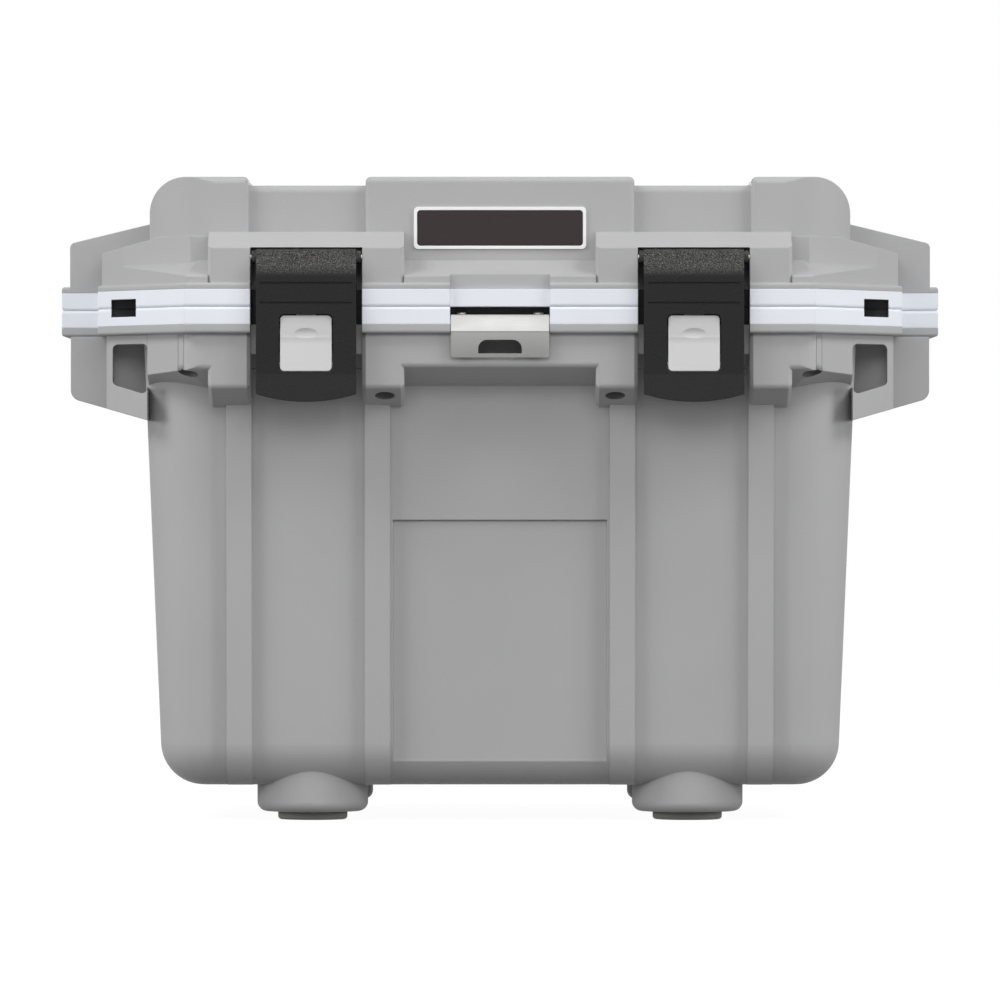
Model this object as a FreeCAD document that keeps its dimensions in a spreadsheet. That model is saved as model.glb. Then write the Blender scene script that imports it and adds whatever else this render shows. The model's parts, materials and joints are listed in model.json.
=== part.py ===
"""Hard cooler chest with a hinged lid, two press-and-pull latches, a bottle opener and a drain.

Millimetres. +X is the right side, -Y the front, +Z up. The origin is on the ground, in the
middle of the chest. Every driving size is a cell of the sheet "Sizes"; each sketch corner,
pad length, radius and place is an expression of those cells.
"""
import FreeCAD, Part
import os
import re
import Sketcher

Vector = FreeCAD.Vector
doc = FreeCAD.newDocument("CoolerChest")

SIZES = {
    # heights, stacked from the ground up
    "foot_pad_height": 6.0,
    "foot_boss_height": 19.6,
    "tub_height": 331.7,
    "tub_lip_height": 6.2,
    "band_height": 12.7,
    "lid_lip_height": 4.4,
    "lid_rise": 76.7,
    # tub wall
    "tub_half_width": 258.6,
    "tub_half_depth": 184.0,
    "tub_draft": 2.42,
    "tub_corner_radius": 50.0,
    "tub_floor_radius": 31.0,
    "tub_floor_bevel": 16.0,
    "shell_wall": 3.0,
    "foam_gap": 0.2,
    # ribs and the recessed panel of the front and back walls
    "rib_width": 18.4,
    "rib_gap": 1.2,
    "rib_height": 5.0,
    "panel_top_drop": 140.0,
    "panel_margin": 2.0,
    "panel_foot_gap": 6.0,
    "panel_depth": 2.5,
    # rim, as seen from above
    "rim_front_overhang": 41.0,
    "rim_side_overhang": 33.0,
    "slant_width": 66.0,
    "slant_depth": 89.0,
    "wing_reach": 28.4,
    "wing_half_length": 90.0,
    "rim_edge_radius": 2.0,
    "skirt_inset": 6.0,
    # skirt under the rim: apron in the middle, legs, corners
    "apron_drop": 29.9,
    "leg_drop": 45.3,
    "corner_drop": 31.3,
    "underside_angle": 20.0,
    "leg_inner_width": 30.0,
    "leg_outer_width": 30.4,
    "corner_margin": 37.6,
    "skirt_edge_radius": 4.0,
    "leg_edge": 2.5,
    "corner_turn": 43.0,
    "skirt_plan_radius": 16.0,
    # side handles, moulded under the wings
    "handle_face_inset": 6.5,
    "handle_root_drop": 68.3,
    "handle_knuckle_drop": 51.4,
    "handle_knuckle_radius": 8.0,
    "grip_wall": 9.0,
    "grip_width": 30.0,
    "grip_half_length": 72.0,
    "grip_roof": 20.0,
    # strap windows in the slanted corners and slots in the rim bands
    "window_width": 26.5,
    "window_top_drop": 13.0,
    "window_height": 29.0,
    "window_sill_fall": 8.0,
    "window_well_reach": 3.0,
    "window_depth": 15.0,
    "rim_slot_margin": 29.1,
    "rim_slot_width": 18.5,
    "rim_slot_half_height": 6.2,
    "rim_slot_depth": 2.0,
    # tie-down holes
    "tie_hole_radius": 7.0,
    "tie_hole_rise": 24.0,
    "tie_hole_setback": 15.0,
    "tie_hole_corner_setback": 12.0,
    "tie_hole_leg_offset": 13.9,
    "tie_hole_corner_offset": 14.6,
    # basin
    "insulation_side": 71.1,
    "insulation_front": 47.5,
    "insulation_floor": 31.4,
    "basin_draft": 1.5,
    "basin_corner_radius": 32.0,
    "basin_floor_radius": 16.0,
    "basin_floor_bevel": 10.0,
    "liner_wall": 3.0,
    "band_hollow_margin": 18.6,
    "band_hollow_radius": 50.0,
    # lid
    "plug_clearance": 2.5,
    "plug_depth": 12.0,
    "gasket_width": 9.0,
    "gasket_height": 3.4,
    "gasket_margin": 5.0,
    "tier_inset": 3.0,
    "tier_high_rise": 24.9,
    "tier_low_rise": 4.5,
    "tier_slope_rise": 12.0,
    "deck_front_setback": 25.0,
    "deck_side_setback": 38.2,
    "deck_side_radius": 27.0,
    "deck_corner_radius": 50.0,
    "deck_front_radius": 5.0,
    "pad_edge_radius": 4.0,
    "shoulder_slant": 0.86,
    "shoulder_flat_setback": 8.4,
    "shoulder_front_setback": 31.4,
    "shoulder_rise": 33.9,
    "shoulder_fall": 10.6,
    "lid_wing_root_rise": 46.5,
    "lid_wing_edge_rise": 31.8,
    "lid_wing_edge_radius": 4.0,
    "lid_wing_face_inset": 6.0,
    "channel_inner_half": 42.1,
    "channel_outer_half": 41.8,
    "channel_depth": 6.1,
    "lid_hollow_side_wall": 17.4,
    "lid_hollow_front_wall": 16.0,
    "lid_hollow_radius": 34.0,
    "lid_hollow_roof": 14.0,
    "cup_radius": 37.0,
    "cup_depth": 7.0,
    "cup_pitch_x": 46.0,
    "cup_pitch_y": 95.0,
    # latch notches
    "latch_centre": 138.6,
    "notch_half_width": 40.0,
    "notch_floor": 3.0,
    "band_notch_reach": 32.0,
    "lid_notch_roof": 42.3,
    "catch_setback": 13.0,
    "catch_drop": 18.2,
    "catch_nose_height": 3.0,
    "catch_nose_width": 5.0,
    # latches
    "lever_stand": 5.0,
    "lever_kick": 8.0,
    "lever_pull": 2.5,
    "lever_brow_radius": 12.0,
    "lever_thickness": 13.5,
    "latch_pivot_rise": 36.0,
    "latch_pivot_setback": 12.0,
    "barrel_radius": 5.9,
    "barrel_half_width": 39.2,
    "barrel_lug_radius": 4.9,
    "latch_pin_radius": 2.0,
    "latch_pin_hold": 8.0,
    "pin_clearance": 0.1,
    "lever_half_width": 35.8,
    "lever_bottom_drop": 68.2,
    "lever_bottom_arc": 118.0,
    "lever_face_wall": 4.0,
    "lever_side_wall": 3.0,
    "lever_groove_depth": 0.8,
    "lever_groove_height": 1.5,
    "button_half_width": 18.35,
    "button_height": 39.7,
    "button_bottom_drop": 46.2,
    "button_gap": 0.8,
    "button_wall": 5.0,
    "button_bulge_rise": 24.0,
    "button_corner_radius": 3.0,
    "dimple_sweep": 32.0,
    "dimple_scoop": 6.5,
    "dimple_depth": 0.9,
    "dimple_rise": 27.9,
    "button_pin_radius": 1.5,
    "button_pin_setback": 8.5,
    "button_pin_rise": 5.4,
    "pawl_half_width": 11.0,
    "pawl_tooth_height": 2.6,
    "pawl_clearance": 0.4,
    "pawl_tooth_length": 5.0,
    "pawl_tooth_slope": 2.0,
    "spring_thickness": 0.8,
    "spring_half_width": 7.0,
    # rear hinges
    "hinge_stand": 4.0,
    "hinge_notch_reach": 12.0,
    "hinge_barrel_radius": 9.0,
    "hinge_pin_radius": 4.0,
    "hinge_half_width": 55.0,
    "hinge_knuckle_width": 26.0,
    "hinge_gap": 0.5,
    "hinge_arm_reach": 21.6,
    "hinge_arm_clearance": 4.0,
    # bottle opener
    "opener_half_width": 35.2,
    "opener_sheet": 1.6,
    "opener_face_setback": 1.4,
    "opener_shoulder_setback": 8.0,
    "opener_flange_reach": 32.0,
    "opener_flange_drop": 5.6,
    "opener_bend_drop": 17.6,
    "opener_bottom_drop": 36.5,
    "opener_hole_half_width": 15.6,
    "opener_hole_height": 9.7,
    "opener_hole_rise": 3.0,
    "opener_hole_radius": 6.5,
    "opener_side_gap": 0.5,
    "opener_screw_x": 27.5,
    "opener_relief_depth": 3.0,
    "opener_relief_rise": 13.2,
    # screws
    "screw_radius": 2.0,
    "screw_head_radius": 3.8,
    "screw_head_height": 2.2,
    "screw_length": 9.0,
    "opener_screw_length": 6.5,
    # feet
    "foot_side_setback": 122.6,
    "foot_front_setback": 61.0,
    "foot_boss_radius": 40.2,
    "foot_boss_edge": 7.0,
    "foot_pad_radius": 28.0,
    "foot_pad_edge": 3.0,
    "foot_screw_recess": 3.0,
    # name plate
    "plate_half_width": 61.8,
    "plate_half_height": 15.1,
    "plate_thickness": 1.2,
    "plate_corner_radius": 3.0,
    "plate_border": 2.3,
    "plate_rise": 39.8,
    "plate_field_thickness": 0.5,
    # drain, low on the right side
    "drain_rise": 19.0,
    "drain_bore_radius": 7.0,
    "drain_tube_wall": 2.5,
    "drain_boss_height": 6.0,
    "drain_recess_radius": 34.0,
    "drain_recess_depth": 20.0,
    "drain_flange_radius": 22.0,
    "drain_flange_height": 4.0,
    "drain_nut_radius": 14.0,
    "drain_nut_height": 5.0,
    "drain_plug_clearance": 0.5,
    "drain_plug_length": 20.0,
    "drain_cap_radius": 20.0,
    "drain_cap_height": 9.0,
    "drain_seal_thickness": 2.5,
    "drain_grip_half_width": 3.5,
    "drain_grip_half_length": 18.0,
}

sheet = doc.addObject("Spreadsheet::Sheet", "Sizes")
for row, (name, value) in enumerate(SIZES.items(), 1):
    sheet.set(f"A{row}", name)
    sheet.set(f"B{row}", str(value))
    sheet.setAlias(f"B{row}", name)
doc.recompute()

# Levels and places that several pieces share, each an expression of the sheet.
DERIVED = {
    # levels
    "floor_level": "foot_pad_height + foot_boss_height",
    "tub_top": "floor_level + tub_height",
    "skirt_top": "tub_top - tub_lip_height",
    "parting": "tub_top + band_height",
    "lid_base": "parting + band_height",
    "lid_deck": "lid_base + lid_lip_height",
    "lid_top": "lid_deck + lid_rise",
    "basin_floor": "floor_level + insulation_floor",
    "basin_depth": "parting - basin_floor",
    "catch_ledge": "tub_top - catch_drop",
    "pivot_height": "parting + latch_pivot_rise",
    "lever_bottom": "parting - lever_bottom_drop",
    "button_low": "parting - button_bottom_drop",
    "button_high": "button_low + button_height",
    "button_pin_height": "button_low + button_pin_rise",
    "drain_height": "basin_floor + drain_rise",
    # plan of the tub, the rim and the lid
    "rim_half_depth": "tub_half_depth + rim_front_overhang",
    "rim_half_width": "tub_half_width + rim_side_overhang",
    "rim_face_half_width": "rim_half_width - slant_width",
    "rim_corner_half_depth": "rim_half_depth - slant_depth",
    "slant_length": "hypot(slant_width; slant_depth)",
    "wing_half_width": "rim_half_width + wing_reach",
    "skirt_face": "rim_half_depth - skirt_inset",
    "basin_half_width": "tub_half_width - insulation_side",
    "basin_half_depth": "tub_half_depth - insulation_front",
    "band_hollow_half_width": "tub_half_width - band_hollow_margin",
    "band_hollow_half_depth": "tub_half_depth",
    "deck_half_depth": "rim_half_depth - deck_front_setback",
    "deck_half_width": "rim_half_width - deck_side_setback",
    "shoulder_front_x": "deck_half_width - shoulder_front_setback",
    "lid_hollow_half_width": "deck_half_width - lid_hollow_side_wall",
    "lid_hollow_half_depth": "deck_half_depth - lid_hollow_front_wall",
    "foot_x": "tub_half_width - foot_side_setback",
    "foot_y": "tub_half_depth - foot_front_setback",
    # places along the front
    "notch_start": "latch_centre - notch_half_width",
    "notch_end": "latch_centre + notch_half_width",
    "leg_inner_start": "notch_start - leg_inner_width",
    "leg_outer_end": "notch_end + leg_outer_width",
    "corner_end": "rim_half_width - corner_margin",
    "window_end": "corner_end + window_width",
    "rim_slot_start": "rim_half_width - rim_slot_margin",
    "tie_hole_inner_x": "leg_inner_start + tie_hole_leg_offset",
    "tie_hole_outer_x": "leg_outer_end + tie_hole_corner_offset",
    "rib_inner_start": "notch_start - rib_gap - rib_width",
    "rib_outer_start": "notch_end",
    "panel_half_width": "rib_inner_start - panel_margin",
    "channel_start": "latch_centre - channel_inner_half",
    "channel_end": "latch_centre + channel_outer_half",
    # depths of the latches, the hinges and the opener
    "tub_notch_depth": "tub_half_depth + notch_floor",
    "band_notch_depth": "rim_half_depth - band_notch_reach",
    "catch_depth": "rim_half_depth - catch_setback",
    "lever_face_depth": "rim_half_depth + lever_stand",
    "lever_back_depth": "lever_face_depth - lever_thickness",
    "front_reach": "lever_face_depth + lever_kick",
    "latch_pivot_depth": "lever_face_depth - latch_pivot_setback",
    "button_pin_depth": "lever_face_depth - button_pin_setback",
    "hinge_depth": "rim_half_depth + hinge_stand",
    "hinge_notch_depth": "rim_half_depth - hinge_notch_reach",
    "opener_face_depth": "rim_half_depth - opener_face_setback",
    "opener_shoulder_depth": "rim_half_depth - opener_shoulder_setback",
    "opener_flange_depth": "rim_half_depth - opener_flange_reach",
    "opener_screw_depth": "(opener_flange_depth + opener_shoulder_depth) / 2",
    # drain
    "drain_wall": "tub_half_width - (tub_top - drain_height) * tan(tub_draft)",
    "drain_seat": "drain_wall - drain_recess_depth",
    "drain_tube_radius": "drain_bore_radius + drain_tube_wall",
    "drain_boss_face": "basin_half_width - basin_depth * tan(basin_draft) - drain_boss_height",
    "drain_inner_end": "drain_boss_face - drain_nut_height",
    "drain_face": "drain_seat + drain_flange_height",
}


def bound(text):
    """The expression with each size pointed at its cell and each derived name written out."""
    def point(match):
        word = match.group()
        if word in DERIVED:
            return f"({bound(DERIVED[word])})"
        return f"Sizes.{word}" if word in SIZES else word

    return re.sub(r"[a-z][a-z_]*", point, text)


def number(text):
    """What an expression of sizes comes to now."""
    return float(sheet.evalExpression(bound(text)))


def origin_plane(body, role):
    return [item for item in body.Origin.OriginFeatures if item.Role == role][0]


def outline(body, name, role, corners, level):
    """A closed sketch whose corners are all bound to the sheet, on a plane moved to a level."""
    sketch = body.newObject("Sketcher::SketchObject", name)
    sketch.AttachmentSupport = [(origin_plane(body, role), "")]
    sketch.MapMode = "FlatFace"
    sketch.setExpression(".AttachmentOffset.Base.z", bound(level))
    places = [Vector(number(across), number(up), 0) for across, up in corners]
    for index, place in enumerate(places):
        following = places[(index + 1) % len(places)]
        sketch.addGeometry(Part.LineSegment(place, following), False)
    for index in range(len(places)):
        following = (index + 1) % len(places)
        sketch.addConstraint(Sketcher.Constraint("Coincident", index, 2, following, 1))
    for index, (across, up) in enumerate(corners):
        place = places[index]
        for kind, reach, text in (("DistanceX", place.x, across), ("DistanceY", place.y, up)):
            held = sketch.addConstraint(Sketcher.Constraint(kind, -1, 1, index, 1, reach))
            sketch.setExpression(f"Constraints[{held}]", bound(text))
    return sketch


def prism(name, role, corners, low, high):
    """A body padded from one level to the other, square to an origin plane.

    XY_Plane runs along Z, YZ_Plane along X and XZ_Plane along Y.
    """
    body = doc.addObject("PartDesign::Body", name)
    level = f"-({high})" if role == "XZ_Plane" else low
    pad = body.newObject("PartDesign::Pad", f"{name}Pad")
    pad.Profile = outline(body, f"{name}Outline", role, corners, level)
    pad.setExpression("Length", bound(f"({high}) - ({low})"))
    doc.recompute()
    return body


def rounded(body, name, size, choose, kind="Fillet"):
    """A fillet, or a chamfer, on the edges that a test picks out."""
    base = body.Tip
    names = [f"Edge{place}" for place, edge in enumerate(base.Shape.Edges, 1) if choose(edge)]
    feature = body.newObject(f"PartDesign::{kind}", name)
    feature.Base = (base, names)
    feature.setExpression("Radius" if kind == "Fillet" else "Size", bound(size))
    doc.recompute()
    return body


def upright(edge):
    """An edge that runs mostly up and down."""
    box = edge.BoundBox
    return box.ZLength > max(box.XLength, box.YLength)


def at_level(text):
    """A test for edges that lie at one height."""
    height = number(text)
    return lambda edge: abs(edge.BoundBox.ZMin - height) + abs(edge.BoundBox.ZMax - height) < 0.02


def rectangle(half_width, half_depth):
    return [
        (f"-({half_width})", f"-({half_depth})"),
        (half_width, f"-({half_depth})"),
        (half_width, half_depth),
        (f"-({half_width})", half_depth),
    ]


def box(name, x, y, z):
    """A plain block between pairs of levels."""
    corners = [(x[0], y[0]), (x[1], y[0]), (x[1], y[1]), (x[0], y[1])]
    return prism(name, "XY_Plane", corners, z[0], z[1])


def drafted(name, half_width, half_depth, corner_radius, floor_edge, low, high, draft, hidden=False):
    """A block with rounded corners that narrows downwards from its top.

    Its floor edge is rounded where it shows, and a plain bevel where it is hidden.
    """
    body = prism(name, "XY_Plane", rectangle(half_width, half_depth), low, high)
    rounded(body, f"{name}Corners", corner_radius, upright)
    base = body.Tip
    top = number(high)
    walls = []
    for place, face in enumerate(base.Shape.Faces, 1):
        if face.BoundBox.ZLength > 1:
            walls.append(f"Face{place}")
        elif face.BoundBox.ZMin > top - 0.02:
            lid_face = f"Face{place}"
    slope = body.newObject("PartDesign::Draft", f"{name}Draft")
    slope.Base = (base, walls)
    slope.NeutralPlane = (base, [lid_face])
    slope.setExpression("Angle", bound(draft))
    slope.Reversed = True
    doc.recompute()
    kind = "Chamfer" if hidden else "Fillet"
    return rounded(body, f"{name}Floor", floor_edge, at_level(low), kind)


TURNS = {
    "X": FreeCAD.Rotation(Vector(0, 1, 0), 90),
    "Y": FreeCAD.Rotation(Vector(1, 0, 0), -90),
    "Z": FreeCAD.Rotation(),
}


def placed(thing, x, y, z, axis="Z"):
    thing.Placement = FreeCAD.Placement(Vector(), TURNS[axis])
    for letter, text in (("x", x), ("y", y), ("z", z)):
        thing.setExpression(f".Placement.Base.{letter}", bound(text))
    return thing


def rod(name, radius, length, x, y, z, axis="Z"):
    """A cylinder that starts at a point and runs along +X, +Y or +Z."""
    cylinder = doc.addObject("Part::Cylinder", name)
    cylinder.setExpression("Radius", bound(radius))
    cylinder.setExpression("Height", bound(length))
    return placed(cylinder, x, y, z, axis)


def joined(name, *parts):
    fuse = doc.addObject("Part::MultiFuse", name)
    fuse.Shapes = list(parts)
    fuse.Refine = True
    return fuse


def shared(name, first, second):
    common = doc.addObject("Part::Common", name)
    common.Base = first
    common.Tool = second
    common.Refine = True
    return common


def less(name, base, *tools):
    """The base with every tool cut away."""
    cut = doc.addObject("Part::Cut", name)
    cut.Base = base
    cut.Tool = tools[0] if len(tools) == 1 else joined(f"{name}Tools", *tools)
    cut.Refine = True
    return cut


def flipped(name, source, normal):
    """A mirror image across a plane through the origin."""
    mirror = doc.addObject("Part::Mirroring", name)
    mirror.Source = source
    mirror.Normal = normal
    return mirror


ACROSS = Vector(1, 0, 0)
ALONG = Vector(0, 1, 0)
SIDES = (("left", "Left", "-1"), ("right", "Right", "1"))


def both_sides(name, source):
    return joined(name, source, flipped(f"{name}Mirror", source, ACROSS))


def four_ways(name, source):
    pair = both_sides(f"{name}Pair", source)
    return joined(name, pair, flipped(f"{name}Back", pair, ALONG))


# ---------------------------------------------------------------- rim outlines


def quarter_rim(inset, with_wing):
    """The rim's outline from the middle of the front to the middle of the side."""
    face = f"(rim_face_half_width - ({inset}) * (slant_length - slant_width) / slant_depth)"
    turn = f"(rim_corner_half_depth - ({inset}) * (slant_length - slant_depth) / slant_width)"
    points = [(face, f"(rim_half_depth - ({inset}))"), (f"(rim_half_width - ({inset}))", turn)]
    if with_wing:
        points.append((f"(rim_half_width - ({inset}))", "wing_half_length"))
        points.append((f"(wing_half_width - ({inset}))", "wing_half_length"))
    return points


def rim_outline(inset="0", with_wing=True):
    """The whole rim seen from above: flat front, slanted corners and the wings over the handles."""
    quarter = quarter_rim(inset, with_wing)
    front_right = [(x, f"-{y}") for x, y in quarter]
    back_right = [(x, y) for x, y in reversed(quarter)]
    back_left = [(f"-{x}", y) for x, y in quarter]
    front_left = [(f"-{x}", f"-{y}") for x, y in reversed(quarter)]
    return front_right + back_right + back_left + front_left


def rim_plate(name, low, high, round_at, inset="0"):
    """A slice of the rim with one of its edges rounded."""
    plate = prism(name, "XY_Plane", rim_outline(inset), low, high)
    return rounded(plate, f"{name}Edge", "rim_edge_radius", at_level(round_at))


# ---------------------------------------------------------------- tub outer shell


def tub_wall_depth(drop):
    """How far the drafted front wall stands from the middle, at a drop below the tub's top."""
    return f"(tub_half_depth - ({drop}) * tan(tub_draft))"


def tub_core():
    return drafted("TubCore", "tub_half_width", "tub_half_depth", "tub_corner_radius",
                   "tub_floor_radius", "floor_level", "tub_top", "tub_draft")


def tub_hollow(name, gap):
    """The room inside the outer shell, or the foam that fills it with a gap at its sides."""
    inset = f"(shell_wall + {gap})"
    return drafted(name, f"tub_half_width - {inset}", f"tub_half_depth - {inset}",
                   f"tub_corner_radius - {inset}", "tub_floor_bevel",
                   "(floor_level + shell_wall)", "tub_top", "tub_draft", hidden=True)


def tub_ribs():
    """Two ribs on each half of the front, running over the floor to the back."""
    ribs = []
    for name, start in (("Inner", "rib_inner_start"), ("Outer", "rib_outer_start")):
        top = "(tub_half_depth + rib_height)"
        foot = f"({tub_wall_depth('tub_height')} + rib_height)"
        corners = [(f"-{foot}", "floor_level"), (foot, "floor_level"), (top, "tub_top"),
                   (f"-{top}", "tub_top")]
        rib = prism(f"Rib{name}", "YZ_Plane", corners, start, f"{start} + rib_width")
        rounded(rib, f"Rib{name}Foot", "tub_floor_radius",
                lambda edge: at_level("floor_level")(edge) and edge.BoundBox.XLength > 1)
        ribs.append(both_sides(f"Rib{name}Both", rib))
    return ribs


def underside(name, low, high, drop):
    """A stretch of the skirt, front to back, with its inclined underside and eased edges."""
    run = "(skirt_face - tub_half_depth + 2 * shell_wall + rib_height)"
    front = f"(tub_top - {drop})"
    inner = f"(skirt_face - {run})"
    back = f"({front} - {run} * tan(underside_angle))"
    corners = [
        ("-skirt_face", "skirt_top"), ("-skirt_face", front), (f"-{inner}", back),
        (inner, back), ("skirt_face", front), ("skirt_face", "skirt_top"),
    ]
    stretch = prism(name, "YZ_Plane", corners, low, high)
    edge_height = number(front)
    face = number("skirt_face")

    def lower_edge(edge):
        flat = abs(edge.BoundBox.ZMax - edge_height) + abs(edge.BoundBox.ZMin - edge_height) < 0.02
        return flat and edge.BoundBox.XLength > 1

    def side_edge(edge):
        return upright(edge) and abs(abs(edge.BoundBox.YMin) - face) < 0.02
    rounded(stretch, f"{name}Edge", "skirt_edge_radius", lower_edge)
    return rounded(stretch, f"{name}Sides", "leg_edge", side_edge, "Chamfer")


def corner_turned(name, corners, inset):
    """A long prism turned so that its front edge crosses the front right corner of the rim."""
    stretch = prism(name, "YZ_Plane", corners, "-rim_half_width", "rim_half_width")
    stretch.setExpression(".Placement.Rotation.Angle", bound("corner_turn * 1 deg"))
    for letter, text in (("x", "rim_face_half_width"), ("y", f"-(rim_half_depth - {inset})")):
        stretch.setExpression(f".Placement.Base.{letter}", bound(text))
    return stretch


def corner_underside():
    """The room under the slanted corners: the skirt's underside falls away from their edge."""
    front = "(tub_top - corner_drop)"
    reach = "tub_half_depth"
    corners = [
        (f"-{reach}", "floor_level"), (reach, "floor_level"),
        (reach, f"{front} - {reach} * tan(underside_angle)"),
        ("0", front), (f"-{reach}", front),
    ]
    return four_ways("CornerUnderside", corner_turned("CornerFall", corners, "skirt_inset"))


def tub_handle(outside):
    """The right-hand handle: a block with a sloped underside, and the sills beside it."""
    face = "(wing_half_width - handle_face_inset)"
    corners = [
        ("corner_end", "tub_top - handle_root_drop"), (face, "tub_top - handle_knuckle_drop"),
        (face, "skirt_top"), ("corner_end", "skirt_top"),
    ]
    block = prism("HandleBlock", "XZ_Plane", corners, "-wing_half_length", "wing_half_length")
    knuckle = number("tub_top - handle_knuckle_drop")
    rounded(block, "HandleKnuckle", "handle_knuckle_radius",
            lambda edge: edge.BoundBox.YLength > 1 and abs(edge.BoundBox.ZMin - knuckle) < 0.02)
    row = prism("HandleRow", "XZ_Plane", corners, "-rim_half_depth", "rim_half_depth")
    sills = shared("HandleSills", row, skirt_plan())
    return less("HandleRight", joined("HandleWhole", block, sills), strap_windows(), grips(), outside)


def skirt_plan():
    """The skirt's outline from above, with eased corners."""
    plan = prism("SkirtPlan", "XY_Plane", rim_outline("skirt_inset", False),
                 "tub_top - 2 * handle_root_drop", "skirt_top")
    return rounded(plan, "SkirtPlanCorners", "skirt_plan_radius", upright)


def skirt():
    """What hangs under the tub's lip: apron, four pairs of legs and the corners."""
    apron = underside("Apron", "-notch_start", "notch_start", "apron_drop")
    corner = underside("SkirtCorner", "notch_end", "corner_end", "corner_drop")
    pieces = [
        underside("LegInner", "leg_inner_start", "notch_start", "leg_drop"),
        underside("LegOuter", "notch_end", "leg_outer_end", "leg_drop"),
        less("SkirtCornerRisen", corner, corner_underside()),
    ]
    whole = joined("SkirtRows", apron, both_sides("SkirtSides", joined("SkirtRight", *pieces)))
    return shared("Skirt", whole, doc.getObject("SkirtPlan"))


def catches():
    """The moulded ledge in each latch notch, with a nose that the pawl hooks behind."""
    top = "tub_top"
    ledge = "(tub_top - catch_drop)"
    nose = f"({ledge} - catch_nose_height)"
    inner = "(tub_half_depth - shell_wall)"
    corners = [
        ("-catch_depth", nose), ("-(catch_depth - catch_nose_width)", nose),
        ("-(catch_depth - catch_nose_width)", ledge), ("-tub_notch_depth", ledge),
        (f"-{inner}", f"({ledge} - catch_drop)"), (f"-{inner}", top), ("-catch_depth", top),
    ]
    return both_sides("Catches", prism("Catch", "YZ_Plane", corners, "notch_start", "notch_end"))


def hinge_span(part):
    """Left and right limits of the knuckles of one right-hand hinge."""
    start = "(latch_centre - hinge_half_width)"
    end = "(latch_centre + hinge_half_width)"
    if part == "outer":
        return (start, f"({start} + hinge_knuckle_width)"), (f"({end} - hinge_knuckle_width)", end)
    gap = "hinge_knuckle_width + hinge_gap"
    return ((f"({start} + {gap})", f"({end} - ({gap}))"),)


def knuckles(name, part, way):
    """Hinge knuckles at the back with the arms that carry them; way is -1 down, 1 up."""
    root = "tub_top" if way == "-1" else "lid_base"
    far = f"({root} + {way} * hinge_arm_reach)"
    near = f"(parting + {way} * hinge_arm_clearance)"
    outer = "(hinge_depth + hinge_barrel_radius)"
    corners = [
        ("hinge_depth", "parting"), (outer, "parting"),
        (outer, f"parting + {way} * hinge_barrel_radius"),
        ("skirt_face", far), ("hinge_notch_depth", far),
        ("hinge_notch_depth", near), ("hinge_depth", near),
    ]
    pieces = []
    for index, (low, high) in enumerate(hinge_span(part)):
        arm = prism(f"{name}Arm{index}", "YZ_Plane", corners, low, high)
        barrel = rod(f"{name}Barrel{index}", "hinge_barrel_radius", f"{high} - {low}",
                     low, "hinge_depth", "parting", "X")
        pieces += [arm, barrel]
    return both_sides(name, joined(f"{name}Right", *pieces))


def hinge_bores(name, clearance):
    length = "2 * hinge_half_width + 2"
    bore = rod(f"{name}Right", f"hinge_pin_radius + {clearance}", length,
               "latch_centre - hinge_half_width - 1", "hinge_depth", "parting", "X")
    return both_sides(name, bore)


def hinge_notch(name, low, high):
    """Room for the knuckles in the back of the rim."""
    reach = "(hinge_half_width + hinge_gap)"
    notch = box(name, (f"latch_centre - {reach}", f"latch_centre + {reach}"),
                ("hinge_notch_depth", "front_reach + 2"), (low, high))
    return both_sides(f"{name}Both", notch)


def latch_notch(name, depth, low, high):
    """Room for a lever in the front of the rim."""
    notch = box(name, ("notch_start", "notch_end"), ("-front_reach - 2", f"-{depth}"), (low, high))
    return both_sides(f"{name}Both", notch)


def strap_windows():
    """Openings in the slanted corners, with the hollow behind them open below."""
    top = "(tub_top - window_top_drop)"
    low = f"({top} - window_height)"
    corners = [
        ("corner_end", f"{low} - window_sill_fall"), ("window_end", low), ("window_end", top),
        ("corner_end", top),
    ]
    window = prism("Window", "XZ_Plane", corners, "-rim_half_depth",
                   "-(rim_corner_half_depth - window_depth)")
    rounded(window, "WindowCorners", "skirt_edge_radius",
            lambda edge: edge.BoundBox.YLength > 1)
    well = box("WindowWell", ("corner_end", "window_end"),
               ("-(rim_corner_half_depth + window_well_reach)", "-(rim_corner_half_depth - window_depth)"),
               ("tub_top - 2 * handle_root_drop", top))
    return four_ways("Windows", joined("WindowAndWell", window, well))


def grips():
    """The finger hollow inside each handle, open below."""
    low = "wing_half_width - handle_face_inset - grip_wall - grip_width"
    high = "wing_half_width - handle_face_inset - grip_wall"
    grip = box("Grip", (low, high), ("-grip_half_length", "grip_half_length"),
               ("tub_top - 2 * handle_root_drop", "tub_top - grip_roof"))
    rounded(grip, "GripCorners", "skirt_edge_radius", upright)
    return both_sides("Grips", grip)


def rim_slots():
    """Slots through both bands in the slanted corners."""
    slot = box("RimSlot", ("rim_slot_start", "rim_slot_start + rim_slot_width"),
               ("-rim_half_depth", "-(rim_corner_half_depth + rim_slot_depth)"),
               ("parting - rim_slot_half_height", "parting + rim_slot_half_height"))
    return four_ways("RimSlots", slot)


def tie_holes():
    """Round holes up into the skirt, open at its inclined underside."""
    holes = []
    for name, across, drop, setback in (
        ("Inner", "tie_hole_inner_x", "leg_drop", "tie_hole_setback"),
        ("Outer", "tie_hole_outer_x", "corner_drop", "tie_hole_corner_setback"),
    ):
        hole = rod(f"TieHole{name}", "tie_hole_radius", "handle_root_drop + tie_hole_rise",
                   across, f"-(skirt_face - {setback})", f"tub_top - {drop} - handle_root_drop")
        holes.append(four_ways(f"TieHoles{name}", hole))
    return holes


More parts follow.
